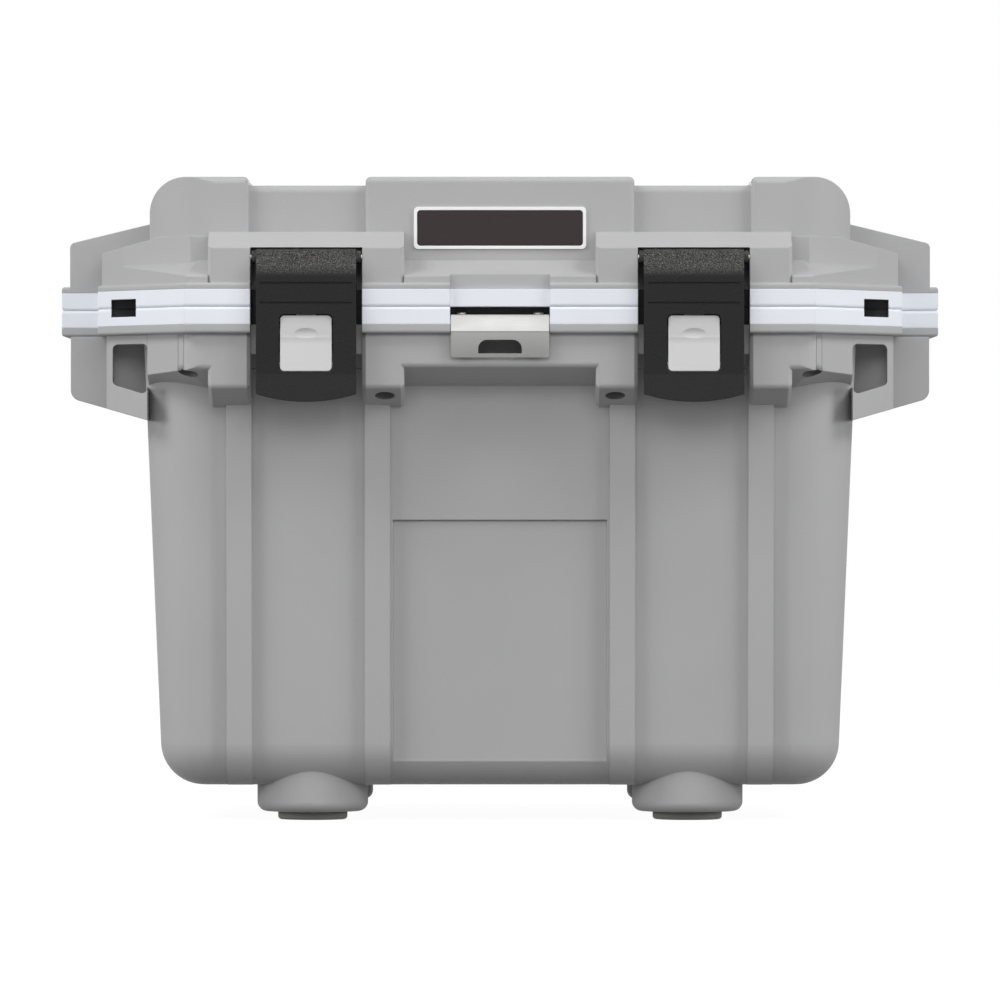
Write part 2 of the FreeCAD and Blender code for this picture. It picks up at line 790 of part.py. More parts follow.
def opener_seat(name):
    """The step that the bent opener plate sits on, cut from the rim and the apron."""
    flange = "(parting - opener_flange_drop - opener_sheet)"
    bend = "(parting - opener_bend_drop)"
    face = "(opener_face_depth - opener_sheet)"
    corners = [
        ("-front_reach", bend), (f"-{face}", bend),
        ("-opener_shoulder_depth", flange), ("-(opener_flange_depth - opener_side_gap)", flange),
        ("-(opener_flange_depth - opener_side_gap)", "parting + 1"), ("-front_reach", "parting + 1"),
    ]
    side = "(opener_half_width + opener_side_gap)"
    return prism(name, "YZ_Plane", corners, f"-{side}", side)


def opener_face_cut():
    """The flat that the opener's lower half lies on, and the hollow behind its hole."""
    side = "(opener_half_width + opener_side_gap)"
    face = box("OpenerFlat", (f"-{side}", side), ("-front_reach", "-(opener_face_depth - opener_sheet)"),
               ("parting - opener_bottom_drop - opener_side_gap", "parting - opener_bend_drop"))
    half = "(opener_hole_half_width + opener_sheet)"
    low = "parting - opener_bottom_drop + opener_hole_rise - opener_sheet"
    cup = box("OpenerCup", (f"-{half}", half), ("-front_reach", "-(opener_flange_depth + opener_sheet)"),
              (low, f"{low} + opener_hole_height + 2 * opener_sheet"))
    return joined("OpenerFaceCut", face, cup)


def panel_recess():
    """The shallow panel between the inner ribs, drafted with the wall."""
    top_drop = "panel_top_drop"
    foot_drop = "(tub_height - panel_foot_gap)"
    top = f"(tub_top - {top_drop})"
    foot = f"(tub_top - {foot_drop})"
    corners = [
        ("-rim_half_depth", foot), (f"-({tub_wall_depth(foot_drop)} - panel_depth)", foot),
        (f"-({tub_wall_depth(top_drop)} - panel_depth)", top), ("-rim_half_depth", top),
    ]
    panel = prism("Panel", "YZ_Plane", corners, "-panel_half_width", "panel_half_width")
    return joined("Panels", panel, flipped("PanelBack", panel, ALONG))


def foot_bosses():
    boss = doc.addObject("PartDesign::Body", "FootBoss")
    drum = boss.newObject("PartDesign::AdditiveCylinder", "FootBossDrum")
    drum.setExpression("Radius", bound("foot_boss_radius"))
    drum.setExpression("Height", bound("foot_boss_height + tub_floor_radius"))
    for letter, text in (("x", "foot_x"), ("y", "foot_y"), ("z", "foot_pad_height")):
        drum.setExpression(f".AttachmentOffset.Base.{letter}", bound(text))
    drum.AttachmentSupport = [(origin_plane(boss, "XY_Plane"), "")]
    drum.MapMode = "FlatFace"
    doc.recompute()
    rounded(boss, "FootBossEdge", "foot_boss_edge", at_level("foot_pad_height"))
    return four_ways("FootBosses", boss)


def foot_screw_bores(radius, name):
    bore = rod(f"{name}One", radius, "screw_length + 1", "foot_x", "foot_y", "foot_pad_height")
    return four_ways(name, bore)


def drain_hole(name, gap):
    """The way through the walls for the drain tube."""
    return rod(name, f"drain_tube_radius + {gap}", "drain_wall - drain_inner_end + 2",
               "drain_inner_end - 1", "0", "drain_height", "X")


def drain_boss():
    """The flat boss inside the basin that the drain nut tightens on."""
    return rod("DrainBoss", "drain_nut_radius + drain_plug_clearance",
               "drain_boss_height + basin_floor_radius",
               "drain_boss_face", "0", "drain_height", "X")


def drain_pot(name, gap):
    """The moulded pot around the drain recess, as a solid."""
    return rod(name, f"drain_recess_radius + shell_wall + {gap}", "drain_recess_depth + shell_wall",
               "drain_seat - shell_wall", "0", "drain_height", "X")


def tub_outside():
    """The tub's walls and ribs as one solid block."""
    return joined("TubOutside", tub_core(), *tub_ribs())


def tub_outer_shell(outside):
    hollowed = less("TubHollowed", outside, tub_hollow("TubHollow", "0"))
    pot = shared("DrainPotInTub", drain_pot("DrainPot", "0"), doc.getObject("TubCore"))
    bosses = less("FootBossesTrimmed", foot_bosses(), doc.getObject("TubHollow"))
    grown = joined("TubGrown", hollowed, bosses, pot)
    return less(
        "TubOuterShell", grown, panel_recess(),
        rod("DrainRecess", "drain_recess_radius", "drain_recess_depth + shell_wall", "drain_seat", "0",
            "drain_height", "X"),
        drain_hole("TubDrainHole", "drain_plug_clearance"),
        foot_screw_bores("screw_radius + pin_clearance", "FootScrewBores"),
        doc.getObject("DrainSeatDisc"),
    )


def drain_seat():
    """The flat end of the drain's pot. It is a node of its own, so that its hole stays open."""
    disc = rod("DrainSeatDisc", "drain_recess_radius + shell_wall", "shell_wall",
               "drain_seat - shell_wall", "0", "drain_height", "X")
    trimmed = shared("DrainSeatTrimmed", disc, doc.getObject("TubCore"))
    return less("DrainSeat", trimmed, drain_hole("SeatDrainHole", "drain_plug_clearance"))


def tub_rim(outside):
    """The rim moulded around the walls: skirt, lip, catches and knuckles."""
    lip = rim_plate("TubLip", "skirt_top", "tub_top", "skirt_top")
    opened = less(
        "TubRimOpened", joined("TubRimWhole", skirt(), lip),
        latch_notch("TubNotch", "tub_notch_depth", "tub_top - 2 * leg_drop", "tub_top + 1"),
        hinge_notch("TubHingeNotch", "skirt_top - hinge_gap", "tub_top + 1"),
        *tie_holes(),
        opener_seat("TubOpenerSeat"), opener_face_cut(),
    )
    whole = joined("TubRimGrown", opened, catches(), knuckles("TubKnuckles", "outer", "-1"))
    return less("TubRim", whole, outside, hinge_bores("TubHingeBores", "0"))


def rim_part(name, rim, start, end):
    """The front or the back of the rim."""
    return shared(name, rim, box(f"{name}Region", ("-wing_half_width", "wing_half_width"), (start, end),
                                 ("floor_level", "lid_top")))


# ---------------------------------------------------------------- tub liner and foam


def basin(name, grow, floor_edge, hidden):
    """The basin's form, grown outwards by a wall."""
    return drafted(name, f"basin_half_width + {grow}", f"basin_half_depth + {grow}",
                   f"basin_corner_radius + {grow}", floor_edge,
                   f"(basin_floor - {grow})", "parting", "basin_draft", hidden)


def band_hollow(name, low, high, gap):
    """The foam-filled room inside a rim band."""
    hollow = prism(name, "XY_Plane",
                   rectangle(f"band_hollow_half_width - {gap}", f"band_hollow_half_depth - {gap}"),
                   low, high)
    return rounded(hollow, f"{name}Corners", "band_hollow_radius", upright)


def tub_basin():
    """The basin of the liner, from its floor up to the rim band."""
    room = less("BasinRoom", basin("Basin", "0", "basin_floor_radius", False), drain_boss())
    form = basin("LinerForm", "liner_wall", "basin_floor_bevel", True)
    return less(
        "TubBasin", form, room, drain_hole("LinerDrainHole", "drain_plug_clearance"),
    )


def tub_band():
    """The white rim band of the liner: a hollow frame around the basin's mouth."""
    band = rim_plate("TubBand", "tub_top", "parting", "parting")
    hollow = band_hollow("TubBandHollow", "tub_top - 1", "parting - liner_wall", "0")
    return less(
        "TubBandOpened", band, hollow, basin("BandMouth", "liner_wall", "basin_floor_bevel", True),
        latch_notch("LinerNotch", "band_notch_depth", "tub_top - 1", "parting + 1"),
        hinge_notch("LinerHingeNotch", "tub_top - 1", "parting + 1"),
        rim_slots(), opener_seat("LinerOpenerSeat"), opener_screw_bores("LinerScrewBores"),
    )


def tub_foam():
    block = joined("FoamBlock", tub_hollow("FoamForm", "foam_gap"),
                   band_hollow("FoamBand", "tub_top", "parting - liner_wall", "foam_gap"))
    return less(
        "TubFoam", block, basin("FoamBasin", "liner_wall", "basin_floor_bevel", True),
        drain_pot("FoamPot", "foam_gap"),
        drain_hole("FoamDrainHole", "drain_plug_clearance"),
    )


# ---------------------------------------------------------------- lid


def lid_tier(name, low, high, rise):
    """A stretch of the lid's lower tier, front to back, with its sloped top."""
    face = "(rim_half_depth - tier_inset)"
    top = f"(lid_deck + {rise})"
    inner = f"({top} + tier_slope_rise)"
    corners = [
        (f"-{face}", "lid_base"), (face, "lid_base"), (face, top), ("deck_half_depth", inner),
        ("-deck_half_depth", inner), (f"-{face}", top),
    ]
    return prism(name, "YZ_Plane", corners, low, high)


def lid_tiers():
    """Lower tier: high over the legs and the latches, low between them and at the corners."""
    middle = lid_tier("TierMiddle", "-leg_inner_start", "leg_inner_start", "tier_low_rise")
    legs = lid_tier("TierLegs", "leg_inner_start", "leg_outer_end", "tier_high_rise")
    face = number("rim_half_depth - tier_inset")
    rounded(legs, "TierLegsSides", "leg_edge",
            lambda edge: upright(edge) and abs(abs(edge.BoundBox.YMin) - face) < 0.02, "Chamfer")
    corner = lid_tier("TierCorner", "leg_outer_end", "rim_half_width", "tier_low_rise")
    fallen = less("TierCornerFallen", corner, corner_fall())
    rows = joined("TierRows", middle, both_sides("TierSides", joined("TierRight", legs, fallen)))
    return shared("Tiers", rows, tier_plan())


def tier_plan():
    return prism("TierPlan", "XY_Plane", rim_outline("tier_inset", False), "lid_base", "lid_top")


def corner_fall():
    """The room over the slanted corners: the lower tier's top falls away towards their edge."""
    top = "(lid_deck + tier_low_rise)"
    run = "(deck_front_setback - tier_inset)"
    reach = "(3 * deck_front_setback)"
    corners = [
        (f"-{reach}", top), ("0", top), (reach, f"{top} + {reach} * tier_slope_rise / {run}"),
        (reach, "lid_top"), (f"-{reach}", "lid_top"),
    ]
    return four_ways("CornerFallTop", corner_turned("TierFall", corners, "tier_inset"))


def lid_shoulder():
    """The middle tier at the corners: one slanted face that meets the lower tier's face."""
    reach = "(wing_half_width - shoulder_front_x)"
    side = f"(deck_half_depth - {reach} * shoulder_slant)"
    corners = [
        ("-shoulder_front_x", "-deck_half_depth"), ("shoulder_front_x", "-deck_half_depth"),
        ("wing_half_width", f"-{side}"), ("wing_half_width", side),
        ("shoulder_front_x", "deck_half_depth"), ("-shoulder_front_x", "deck_half_depth"),
        ("-wing_half_width", side), ("-wing_half_width", f"-{side}"),
    ]
    plan = prism("ShoulderPlan", "XY_Plane", corners, "lid_base", "lid_top")
    edge = "(rim_half_width - tier_inset)"
    top = "(lid_deck + shoulder_rise)"
    flat = "(deck_half_width - shoulder_flat_setback)"
    roof = [
        (f"-{edge}", "lid_base"), (edge, "lid_base"), (edge, f"{top} - shoulder_fall"),
        (flat, top), (f"-{flat}", top), (f"-{edge}", f"{top} - shoulder_fall"),
    ]
    section = prism("ShoulderSection", "XZ_Plane", roof, "-rim_half_depth", "rim_half_depth")
    inside = shared("ShoulderInTier", section, doc.getObject("TierPlan"))
    return shared("Shoulder", plan, inside)


def lid_wings():
    """The lid's half of the handles: one block across, with both outer slopes."""
    face = "(wing_half_width - lid_wing_face_inset)"
    root = "(lid_deck + lid_wing_root_rise)"
    edge = "(lid_deck + lid_wing_edge_rise)"
    corners = [
        (f"-{face}", "lid_base"), (face, "lid_base"), (face, edge), ("deck_half_width", root),
        ("-deck_half_width", root), (f"-{face}", edge),
    ]
    wings = prism("LidWings", "XZ_Plane", corners, "-wing_half_length", "wing_half_length")
    return rounded(wings, "LidWingEdges", "lid_wing_edge_radius",
                   lambda thing: thing.BoundBox.YLength > 1 and at_level(edge)(thing))


def lid_deck():
    """The raised middle of the lid: a base at the level of the channels and three pads."""
    base_top = "(lid_top - channel_depth)"
    reach = "(deck_half_width - deck_side_radius)"
    depth = "(deck_half_depth - channel_depth)"
    base = box("DeckBase", (f"-{reach}", reach), (f"-{depth}", depth), ("lid_base", base_top))
    rounded(base, "DeckBaseEdges", "deck_front_radius",
            lambda edge: at_level(base_top)(edge) and edge.BoundBox.XLength > 1)
    middle = box("DeckMiddle", ("-channel_start", "channel_start"),
                 ("-deck_half_depth", "deck_half_depth"), ("lid_base", "lid_top"))
    low = number("lid_base") + 1
    rounded(middle, "DeckMiddleEdges", "pad_edge_radius", lambda edge: edge.BoundBox.ZMax > low)
    pads = []
    for word, sign in (("Right", ""), ("Left", "-")):
        pads.append(side_pad(word, sign))
    return joined("Deck", base, middle, *pads)


def side_pad(word, sign):
    """An outer pad: the round of its side, of its plan and of its front, shared by three prisms."""
    corners = [
        (f"{sign}channel_end", "lid_base"), (f"{sign}deck_half_width", "lid_base"),
        (f"{sign}deck_half_width", "lid_top"), (f"{sign}channel_end", "lid_top"),
    ]
    section = prism(f"PadSection{word}", "XZ_Plane", corners, "-deck_half_depth", "deck_half_depth")
    side = abs(number("deck_half_width")) - 1
    high = number("lid_top") - 0.02
    rounded(section, f"PadSide{word}", "deck_side_radius",
            lambda edge: edge.BoundBox.ZMin > high and edge.BoundBox.YLength > 1
            and max(abs(edge.BoundBox.XMin), abs(edge.BoundBox.XMax)) > side)
    near = number("channel_end") + 1
    rounded(section, f"PadInner{word}", "pad_edge_radius",
            lambda edge: edge.BoundBox.ZMin > high and edge.BoundBox.YLength > 1
            and max(abs(edge.BoundBox.XMin), abs(edge.BoundBox.XMax)) < near)
    plan = box(f"PadPlan{word}", tuple(sorted((f"{sign}channel_end", f"{sign}deck_half_width"), key=number)),
               ("-deck_half_depth", "deck_half_depth"), ("lid_base", "lid_top"))
    rounded(plan, f"PadCorners{word}", "deck_corner_radius",
            lambda edge: upright(edge) and max(abs(edge.BoundBox.XMin), abs(edge.BoundBox.XMax)) > side)
    rounded(plan, f"PadInnerCorners{word}", "pad_edge_radius",
            lambda edge: upright(edge) and max(abs(edge.BoundBox.XMin), abs(edge.BoundBox.XMax)) < near)
    profile = prism(f"PadProfile{word}", "YZ_Plane",
                    [("-deck_half_depth", "lid_base"), ("deck_half_depth", "lid_base"),
                     ("deck_half_depth", "lid_top"), ("-deck_half_depth", "lid_top")],
                    *sorted((f"{sign}channel_end", f"{sign}deck_half_width"), key=number))
    rounded(profile, f"PadFront{word}", "deck_front_radius",
            lambda edge: edge.BoundBox.ZMin > high and edge.BoundBox.XLength > 1)
    return shared(f"Pad{word}", shared(f"PadRound{word}", section, plan), profile)


def cup_recesses():
    cup = rod("Cup", "cup_radius", "cup_depth + 1", "cup_pitch_x", "cup_pitch_y", "lid_top - cup_depth")
    return four_ways("Cups", cup)


def lid_hollow(name, gap):
    """The foam-filled room inside the lid."""
    hollow = prism(name, "XY_Plane",
                   rectangle(f"lid_hollow_half_width - {gap}", f"lid_hollow_half_depth - {gap}"),
                   "lid_base", "lid_top - lid_hollow_roof")
    return rounded(hollow, f"{name}Corners", "lid_hollow_radius", upright)


def latch_pin_bores(name, radius):
    length = "(2 * notch_half_width + 2 * latch_pin_hold)"
    bore = rod(name, radius, length, "latch_centre - notch_half_width - latch_pin_hold",
               "-latch_pivot_depth", "parting + latch_pivot_rise", "X")
    return both_sides(f"{name}Both", bore)


def opener_relief(name, inset, high):
    """The shallow dish above the opener that lets a bottle neck in."""
    side = "(opener_half_width + opener_side_gap)"
    back = f"-(rim_half_depth - opener_relief_depth - {inset})"
    return box(name, (f"-{side}", side), ("-front_reach", back), ("parting - 1", high))


def lid_outer_shell():
    lip = rim_plate("LidLip", "lid_base", "lid_deck", "lid_deck")
    outside = joined("LidOutside", lip, lid_tiers(), lid_shoulder(), lid_wings(), lid_deck())
    cleared = less(
        "LidCleared", outside, cup_recesses(), lid_hollow("LidHollow", "0"),
        latch_notch("LidNotch", "band_notch_depth", "lid_base - 1", "parting + lid_notch_roof"),
        hinge_notch("LidHingeNotch", "lid_base - 1", "lid_deck + hinge_gap"),
        opener_relief("OpenerRelief", "tier_inset", "lid_base + opener_relief_rise"),
        latch_pin_bores("LidPinBores", "latch_pin_radius"),
    )
    whole = joined("LidWhole", cleared, knuckles("LidKnuckles", "inner", "1"))
    return less("LidOuterShell", whole, hinge_bores("LidHingeBores", "pin_clearance"))


def lid_plug(name, shrink, low, high):
    """The lid's plug, or the room inside it."""
    gap = f"(plug_clearance + {shrink})"
    plug = prism(name, "XY_Plane", rectangle(f"basin_half_width - {gap}", f"basin_half_depth - {gap}"),
                 low, high)
    return rounded(plug, f"{name}Corners", f"basin_corner_radius - {gap}", upright)


def gasket(name, low, high):
    """A rounded frame around the plug."""
    inner = "gasket_margin"
    outer = "(gasket_margin + gasket_width)"
    frame = prism(f"{name}Outer", "XY_Plane",
                  rectangle(f"basin_half_width + {outer}", f"basin_half_depth + {outer}"), low, high)
    rounded(frame, f"{name}OuterCorners", f"basin_corner_radius + {outer}", upright)
    window = prism(f"{name}Inner", "XY_Plane",
                   rectangle(f"basin_half_width + {inner}", f"basin_half_depth + {inner}"),
                   f"{low} - 1", f"{high} + 1")
    rounded(window, f"{name}InnerCorners", f"basin_corner_radius + {inner}", upright)
    return less(name, frame, window)


def lid_liner():
    band = rim_plate("LidBand", "parting", "lid_base", "parting")
    plug = lid_plug("Plug", "0", "parting - plug_depth", "parting + liner_wall")
    outside = joined("LidLinerOutside", band, plug)
    return less(
        "LidLiner", outside,
        band_hollow("LidBandHollow", "parting + gasket_height + liner_wall", "lid_base + 1", "0"),
        lid_plug("PlugRoom", "liner_wall", "parting - plug_depth + liner_wall", "lid_base + 1"),
        gasket("GasketGroove", "parting - 1", "parting + gasket_height"),
        latch_notch("LidLinerNotch", "band_notch_depth", "parting - 1", "lid_base + 1"),
        hinge_notch("LidLinerHingeNotch", "parting - 1", "lid_base + 1"),
        doc.getObject("RimSlots"),
        opener_relief("BandRelief", "0", "lid_base + 1"),
    )


def lid_foam():
    return joined(
        "LidFoam", lid_hollow("LidFoamTop", "foam_gap"),
        band_hollow("LidFoamBand", "parting + gasket_height + liner_wall", "lid_base", "foam_gap"),
        lid_plug("LidFoamPlug", "liner_wall + foam_gap", "parting - plug_depth + liner_wall", "lid_base"),
    )


# ---------------------------------------------------------------- latches


def latch_lever(side, sign):
    """The lever: a shell open at the back, with a pivot barrel and a kicked-out pull edge."""
    centre = f"({sign} * latch_centre)"
    profile = [
        ("-(latch_pivot_depth + barrel_radius)", "pivot_height"),
        ("-lever_face_depth", "pivot_height - 2 * barrel_radius"),
        ("-lever_face_depth", "lever_bottom + button_height / 2"),
        ("-(lever_face_depth + lever_pull)", "lever_bottom"),
        ("-(lever_face_depth + lever_pull - lever_face_wall)", "lever_bottom - 1"),
        ("-lever_back_depth", "lever_bottom + 2 * lever_face_wall"),
        ("-lever_back_depth", "pivot_height - 2 * barrel_radius"),
        ("-(latch_pivot_depth - barrel_radius)", "pivot_height"),
    ]
    blade = prism(f"Blade{side}", "YZ_Plane", profile,
                  f"{centre} - lever_half_width", f"{centre} + lever_half_width")
    brow = number("pivot_height - 2 * barrel_radius")
    rounded(blade, f"LeverBrow{side}", "lever_brow_radius",
            lambda edge: edge.BoundBox.XLength > 1 and abs(edge.BoundBox.ZMin - brow) < 0.02
            and edge.BoundBox.YMin < number("-lever_face_depth + 1"))
    disc = rod(f"LeverArc{side}", "lever_bottom_arc", "front_reach", centre, "-front_reach - 1",
               "lever_bottom + lever_bottom_arc", "Y")
    trimmed = shared(f"BladeTrimmed{side}", blade, disc)
    barrel = rod(f"Barrel{side}", "barrel_radius", "2 * lever_half_width",
                 f"{centre} - lever_half_width", "-latch_pivot_depth", "pivot_height", "X")
    lugs = rod(f"BarrelLugs{side}", "barrel_lug_radius", "2 * barrel_half_width",
               f"{centre} - barrel_half_width", "-latch_pivot_depth", "pivot_height", "X")
    inner = "(lever_half_width - lever_side_wall)"
    room = box(f"LeverRoom{side}", (f"{centre} - {inner}", f"{centre} + {inner}"),
               ("-(lever_face_depth - lever_face_wall)", "-lever_back_depth + 1"),
               ("lever_bottom + 3 * lever_face_wall", "pivot_height - 2 * barrel_radius - lever_side_wall"))
    opening = "(button_half_width + button_gap)"
    window = box(f"ButtonWindow{side}", (f"{centre} - {opening}", f"{centre} + {opening}"),
                 ("-front_reach", "-lever_back_depth"),
                 ("button_low - button_gap", "button_high + button_gap"))
    rounded(window, f"ButtonWindowCorners{side}", "button_corner_radius + button_gap",
            lambda edge: edge.BoundBox.YLength > 1)
    grooves = []
    for index, height in enumerate(("lid_base + 2 * lever_groove_height", "parting + lever_groove_height")):
        half = "(lever_half_width - lever_side_wall)"
        grooves.append(box(f"LeverGroove{index}{side}", (f"{centre} - {half}", f"{centre} + {half}"),
                           ("-front_reach", "-(lever_face_depth - lever_groove_depth)"),
                           (height, f"{height} + lever_groove_height")))
    whole = joined(f"LeverWhole{side}", trimmed, barrel, lugs)
    pin = rod(f"LeverBore{side}", "latch_pin_radius + pin_clearance", "2 * barrel_half_width + 2",
              f"{centre} - barrel_half_width - 1", "-latch_pivot_depth", "pivot_height", "X")
    small = rod(f"LeverPinBore{side}", "button_pin_radius", "2 * lever_half_width + 2",
                f"{centre} - lever_half_width - 1", "-button_pin_depth", "button_pin_height", "X")
    return less(f"Lever{side}", whole, room, window, *grooves, pin, small)


def latch_pin(side, sign):
    centre = f"({sign} * latch_centre)"
    half = "(notch_half_width + latch_pin_hold)"
    return rod(f"LatchPin{side}", "latch_pin_radius", f"2 * {half}", f"{centre} - {half}",
               "-latch_pivot_depth", "pivot_height", "X")


def button_pin(side, sign):
    centre = f"({sign} * latch_centre)"
    return rod(f"ButtonPin{side}", "button_pin_radius", "2 * lever_half_width",
               f"{centre} - lever_half_width", "-button_pin_depth", "button_pin_height", "X")


def latch_button(side, sign):
    """The thumb button, turning on its pin, with the pawl that hooks behind the catch."""
    centre = f"({sign} * latch_centre)"
    back = "(lever_face_depth - button_wall)"
    profile = [
        ("-lever_face_depth", "button_low"),
        ("-(lever_face_depth + lever_groove_depth)", "button_low + button_bulge_rise"),
        ("-(lever_face_depth - lever_groove_depth)", "button_high - button_corner_radius * 2"),
        ("-(lever_face_depth - 2 * lever_groove_depth)", "button_high"),
        (f"-{back}", "button_high"), (f"-{back}", "button_pin_height + 3 * button_pin_radius"),
        ("-lever_back_depth", "button_pin_height + 3 * button_pin_radius"),
        ("-lever_back_depth", "button_pin_height - 2 * button_pin_radius"),
        (f"-{back}", "button_low"),
    ]
    face = prism(f"ButtonFace{side}", "YZ_Plane", profile,
                 f"{centre} - button_half_width", f"{centre} + button_half_width")
    front = number("-lever_face_depth + button_wall / 2")

    def front_corner(edge):
        level = at_level("button_high")(edge) or at_level("button_low")(edge)
        return level and edge.BoundBox.XLength < 0.1 and edge.BoundBox.YMin < front
    rounded(face, f"ButtonFaceCorners{side}", "button_corner_radius", front_corner)
    tip = "(catch_ledge - pawl_clearance)"
    root = f"({tip} - catch_nose_height - pawl_clearance - pawl_tooth_height)"
    behind = "(catch_depth - catch_nose_width - pawl_clearance)"
    pawl = [
        ("-lever_back_depth - 1", root), (f"-({behind} - pawl_tooth_length)", root),
        (f"-({behind} - pawl_tooth_length)", f"{tip} - pawl_tooth_slope / 2"),
        (f"-({behind} - pawl_tooth_length + pawl_tooth_slope)", tip), (f"-{behind}", tip),
        (f"-{behind}", f"{root} + pawl_tooth_height"),
        ("-lever_back_depth - 1", f"{root} + pawl_tooth_height"),
    ]
    hook = prism(f"Pawl{side}", "YZ_Plane", pawl,
                 f"{centre} - pawl_half_width", f"{centre} + pawl_half_width")
    dimple = doc.addObject("Part::Torus", f"Dimple{side}")
    dimple.setExpression("Radius1", bound("dimple_sweep - dimple_scoop"))
    dimple.setExpression("Radius2", bound("dimple_scoop"))
    placed(dimple, centre, "-(lever_face_depth + dimple_sweep - dimple_depth)",
           "(button_low + dimple_rise)")
    pin = rod(f"ButtonBore{side}", "button_pin_radius + pin_clearance", "2 * button_half_width + 2",
              f"{centre} - button_half_width - 1", "-button_pin_depth", "button_pin_height", "X")
    return less(f"Button{side}", joined(f"ButtonWhole{side}", face, hook), dimple, pin)


def button_spring(side, sign):
    """A leaf spring held behind the lever's face that pushes the button out."""
    centre = f"({sign} * latch_centre)"
    root = "(lever_face_depth - lever_face_wall)"
    touch = "(lever_face_depth - button_wall)"
    top = "(button_high + 4 * lever_face_wall)"
    bend = "(button_high + lever_face_wall)"
    low = "(button_high - 3 * lever_face_wall)"
    corners = [
        (f"-{root}", top), (f"-{root}", bend), (f"-{touch}", "button_high"), (f"-{touch}", low),
        (f"-({touch} - spring_thickness)", low), (f"-({touch} - spring_thickness)", "button_high"),
        (f"-({root} - spring_thickness)", bend), (f"-({root} - spring_thickness)", top),
    ]
    return prism(f"Spring{side}", "YZ_Plane", corners,
                 f"{centre} - spring_half_width", f"{centre} + spring_half_width")


# ---------------------------------------------------------------- small pieces


def hinge_pin(side, sign):
    centre = f"({sign} * latch_centre)"
    return rod(f"HingePin{side}", "hinge_pin_radius", "2 * hinge_half_width",
               f"{centre} - hinge_half_width", "hinge_depth", "parting", "X")


def opener_screw_bores(name):
    """Clearance bores for the opener's two screws."""
    top = "(parting - opener_flange_drop)"
    length = "(opener_screw_length + pin_clearance)"
    bore = rod(name, "screw_radius + pin_clearance", length, "opener_screw_x", "-opener_screw_depth",
               f"{top} - {length}")
    return both_sides(f"{name}Both", bore)


def screw(name, x, y, seat, length, upward):
    """A pan-head screw: the head on one side of its seat, the shank on the other."""
    head_low = f"{seat} - screw_head_height" if upward else seat
    shank_low = seat if upward else f"{seat} - {length}"
    head = rod(f"{name}Head", "screw_head_radius", "screw_head_height", x, y, head_low)
    shank = rod(f"{name}Shank", "screw_radius", length, x, y, shank_low)
    return joined(name, head, shank)


def bottle_opener():
    """A bent steel plate: flange, sloped shoulder and a face with the opener hole."""
    flange = "(parting - opener_flange_drop)"
    bend = "(parting - opener_bend_drop)"
    low = "(parting - opener_bottom_drop)"
    inner = "(opener_face_depth - opener_sheet)"
    corners = [
        ("-opener_flange_depth", flange), ("-(opener_shoulder_depth + opener_sheet / 2)", flange),
        ("-opener_face_depth", bend), ("-opener_face_depth", low), (f"-{inner}", low), (f"-{inner}", bend),
        ("-opener_shoulder_depth", f"{flange} - opener_sheet"),
        ("-opener_flange_depth", f"{flange} - opener_sheet"),
    ]
    plate = prism("OpenerPlate", "YZ_Plane", corners, "-opener_half_width", "opener_half_width")
    low_edge = number("parting - opener_bottom_drop")
    rounded(plate, "OpenerCorners", "opener_sheet",
            lambda edge: edge.BoundBox.ZMax < low_edge + 0.02 and edge.BoundBox.YLength > 0.5
            and edge.BoundBox.XLength < 0.02)
    hole_low = f"({low} + opener_hole_rise)"
    hole = box("OpenerHole", ("-opener_hole_half_width", "opener_hole_half_width"),
               ("-front_reach", f"-{inner} + 1"), (hole_low, f"{hole_low} + opener_hole_height"))
    top = number(f"{hole_low} + opener_hole_height")
    rounded(hole, "OpenerHoleShoulders", "opener_hole_radius",
            lambda edge: edge.BoundBox.YLength > 1 and edge.BoundBox.ZMin > top - 0.02)
    return less("BottleOpener", plate, hole, opener_screw_bores("OpenerScrewBores"))


def foot_pad(name, sign_x, sign_y):
    """A round rubber pad with a bevelled lower edge and a recess for its screw."""
    x = f"{sign_x} * foot_x"
    y = f"{sign_y} * foot_y"
    disc = rod(f"{name}Disc", "foot_pad_radius", "foot_pad_height - foot_pad_edge", x, y, "foot_pad_edge")
    bevel = doc.addObject("Part::Cone", f"{name}Bevel")
    bevel.setExpression("Radius1", bound("foot_pad_radius - foot_pad_edge"))
    bevel.setExpression("Radius2", bound("foot_pad_radius"))
    bevel.setExpression("Height", bound("foot_pad_edge"))
    placed(bevel, x, y, "0")
    head = rod(f"{name}HeadRoom", "screw_head_radius + pin_clearance", "foot_pad_height", x, y,
               "-foot_screw_recess")
    bore = rod(f"{name}Bore", "screw_radius + pin_clearance", "foot_pad_height + 1", x, y, "0")
    return less(name, joined(f"{name}Whole", disc, bevel), head, bore)


def name_plate():
    height = "(lid_deck + plate_rise)"
    half_w = "plate_half_width"
    half_h = "plate_half_height"
    plate = box("Plate", (f"-{half_w}", half_w),
                ("-(deck_half_depth + plate_thickness)", "-deck_half_depth"),
                (f"{height} - {half_h}", f"{height} + {half_h}"))
    rounded(plate, "PlateCorners", "plate_corner_radius", lambda edge: edge.BoundBox.YLength > 0.5)
    field = plate_field("PlateField")
    return less("NamePlate", plate, field)


def plate_field(name):
    """The dark panel set into the plate."""
    height = "(lid_deck + plate_rise)"
    half_w = "(plate_half_width - plate_border)"
    half_h = "(plate_half_height - plate_border)"
    front = "(deck_half_depth + plate_thickness)"
    field = box(name, (f"-{half_w}", half_w), (f"-{front}", f"-({front} - plate_field_thickness)"),
                (f"{height} - {half_h}", f"{height} + {half_h}"))
    return rounded(field, f"{name}Corners", "plate_corner_radius - plate_field_thickness",
                   lambda edge: edge.BoundBox.YLength > 0.3)


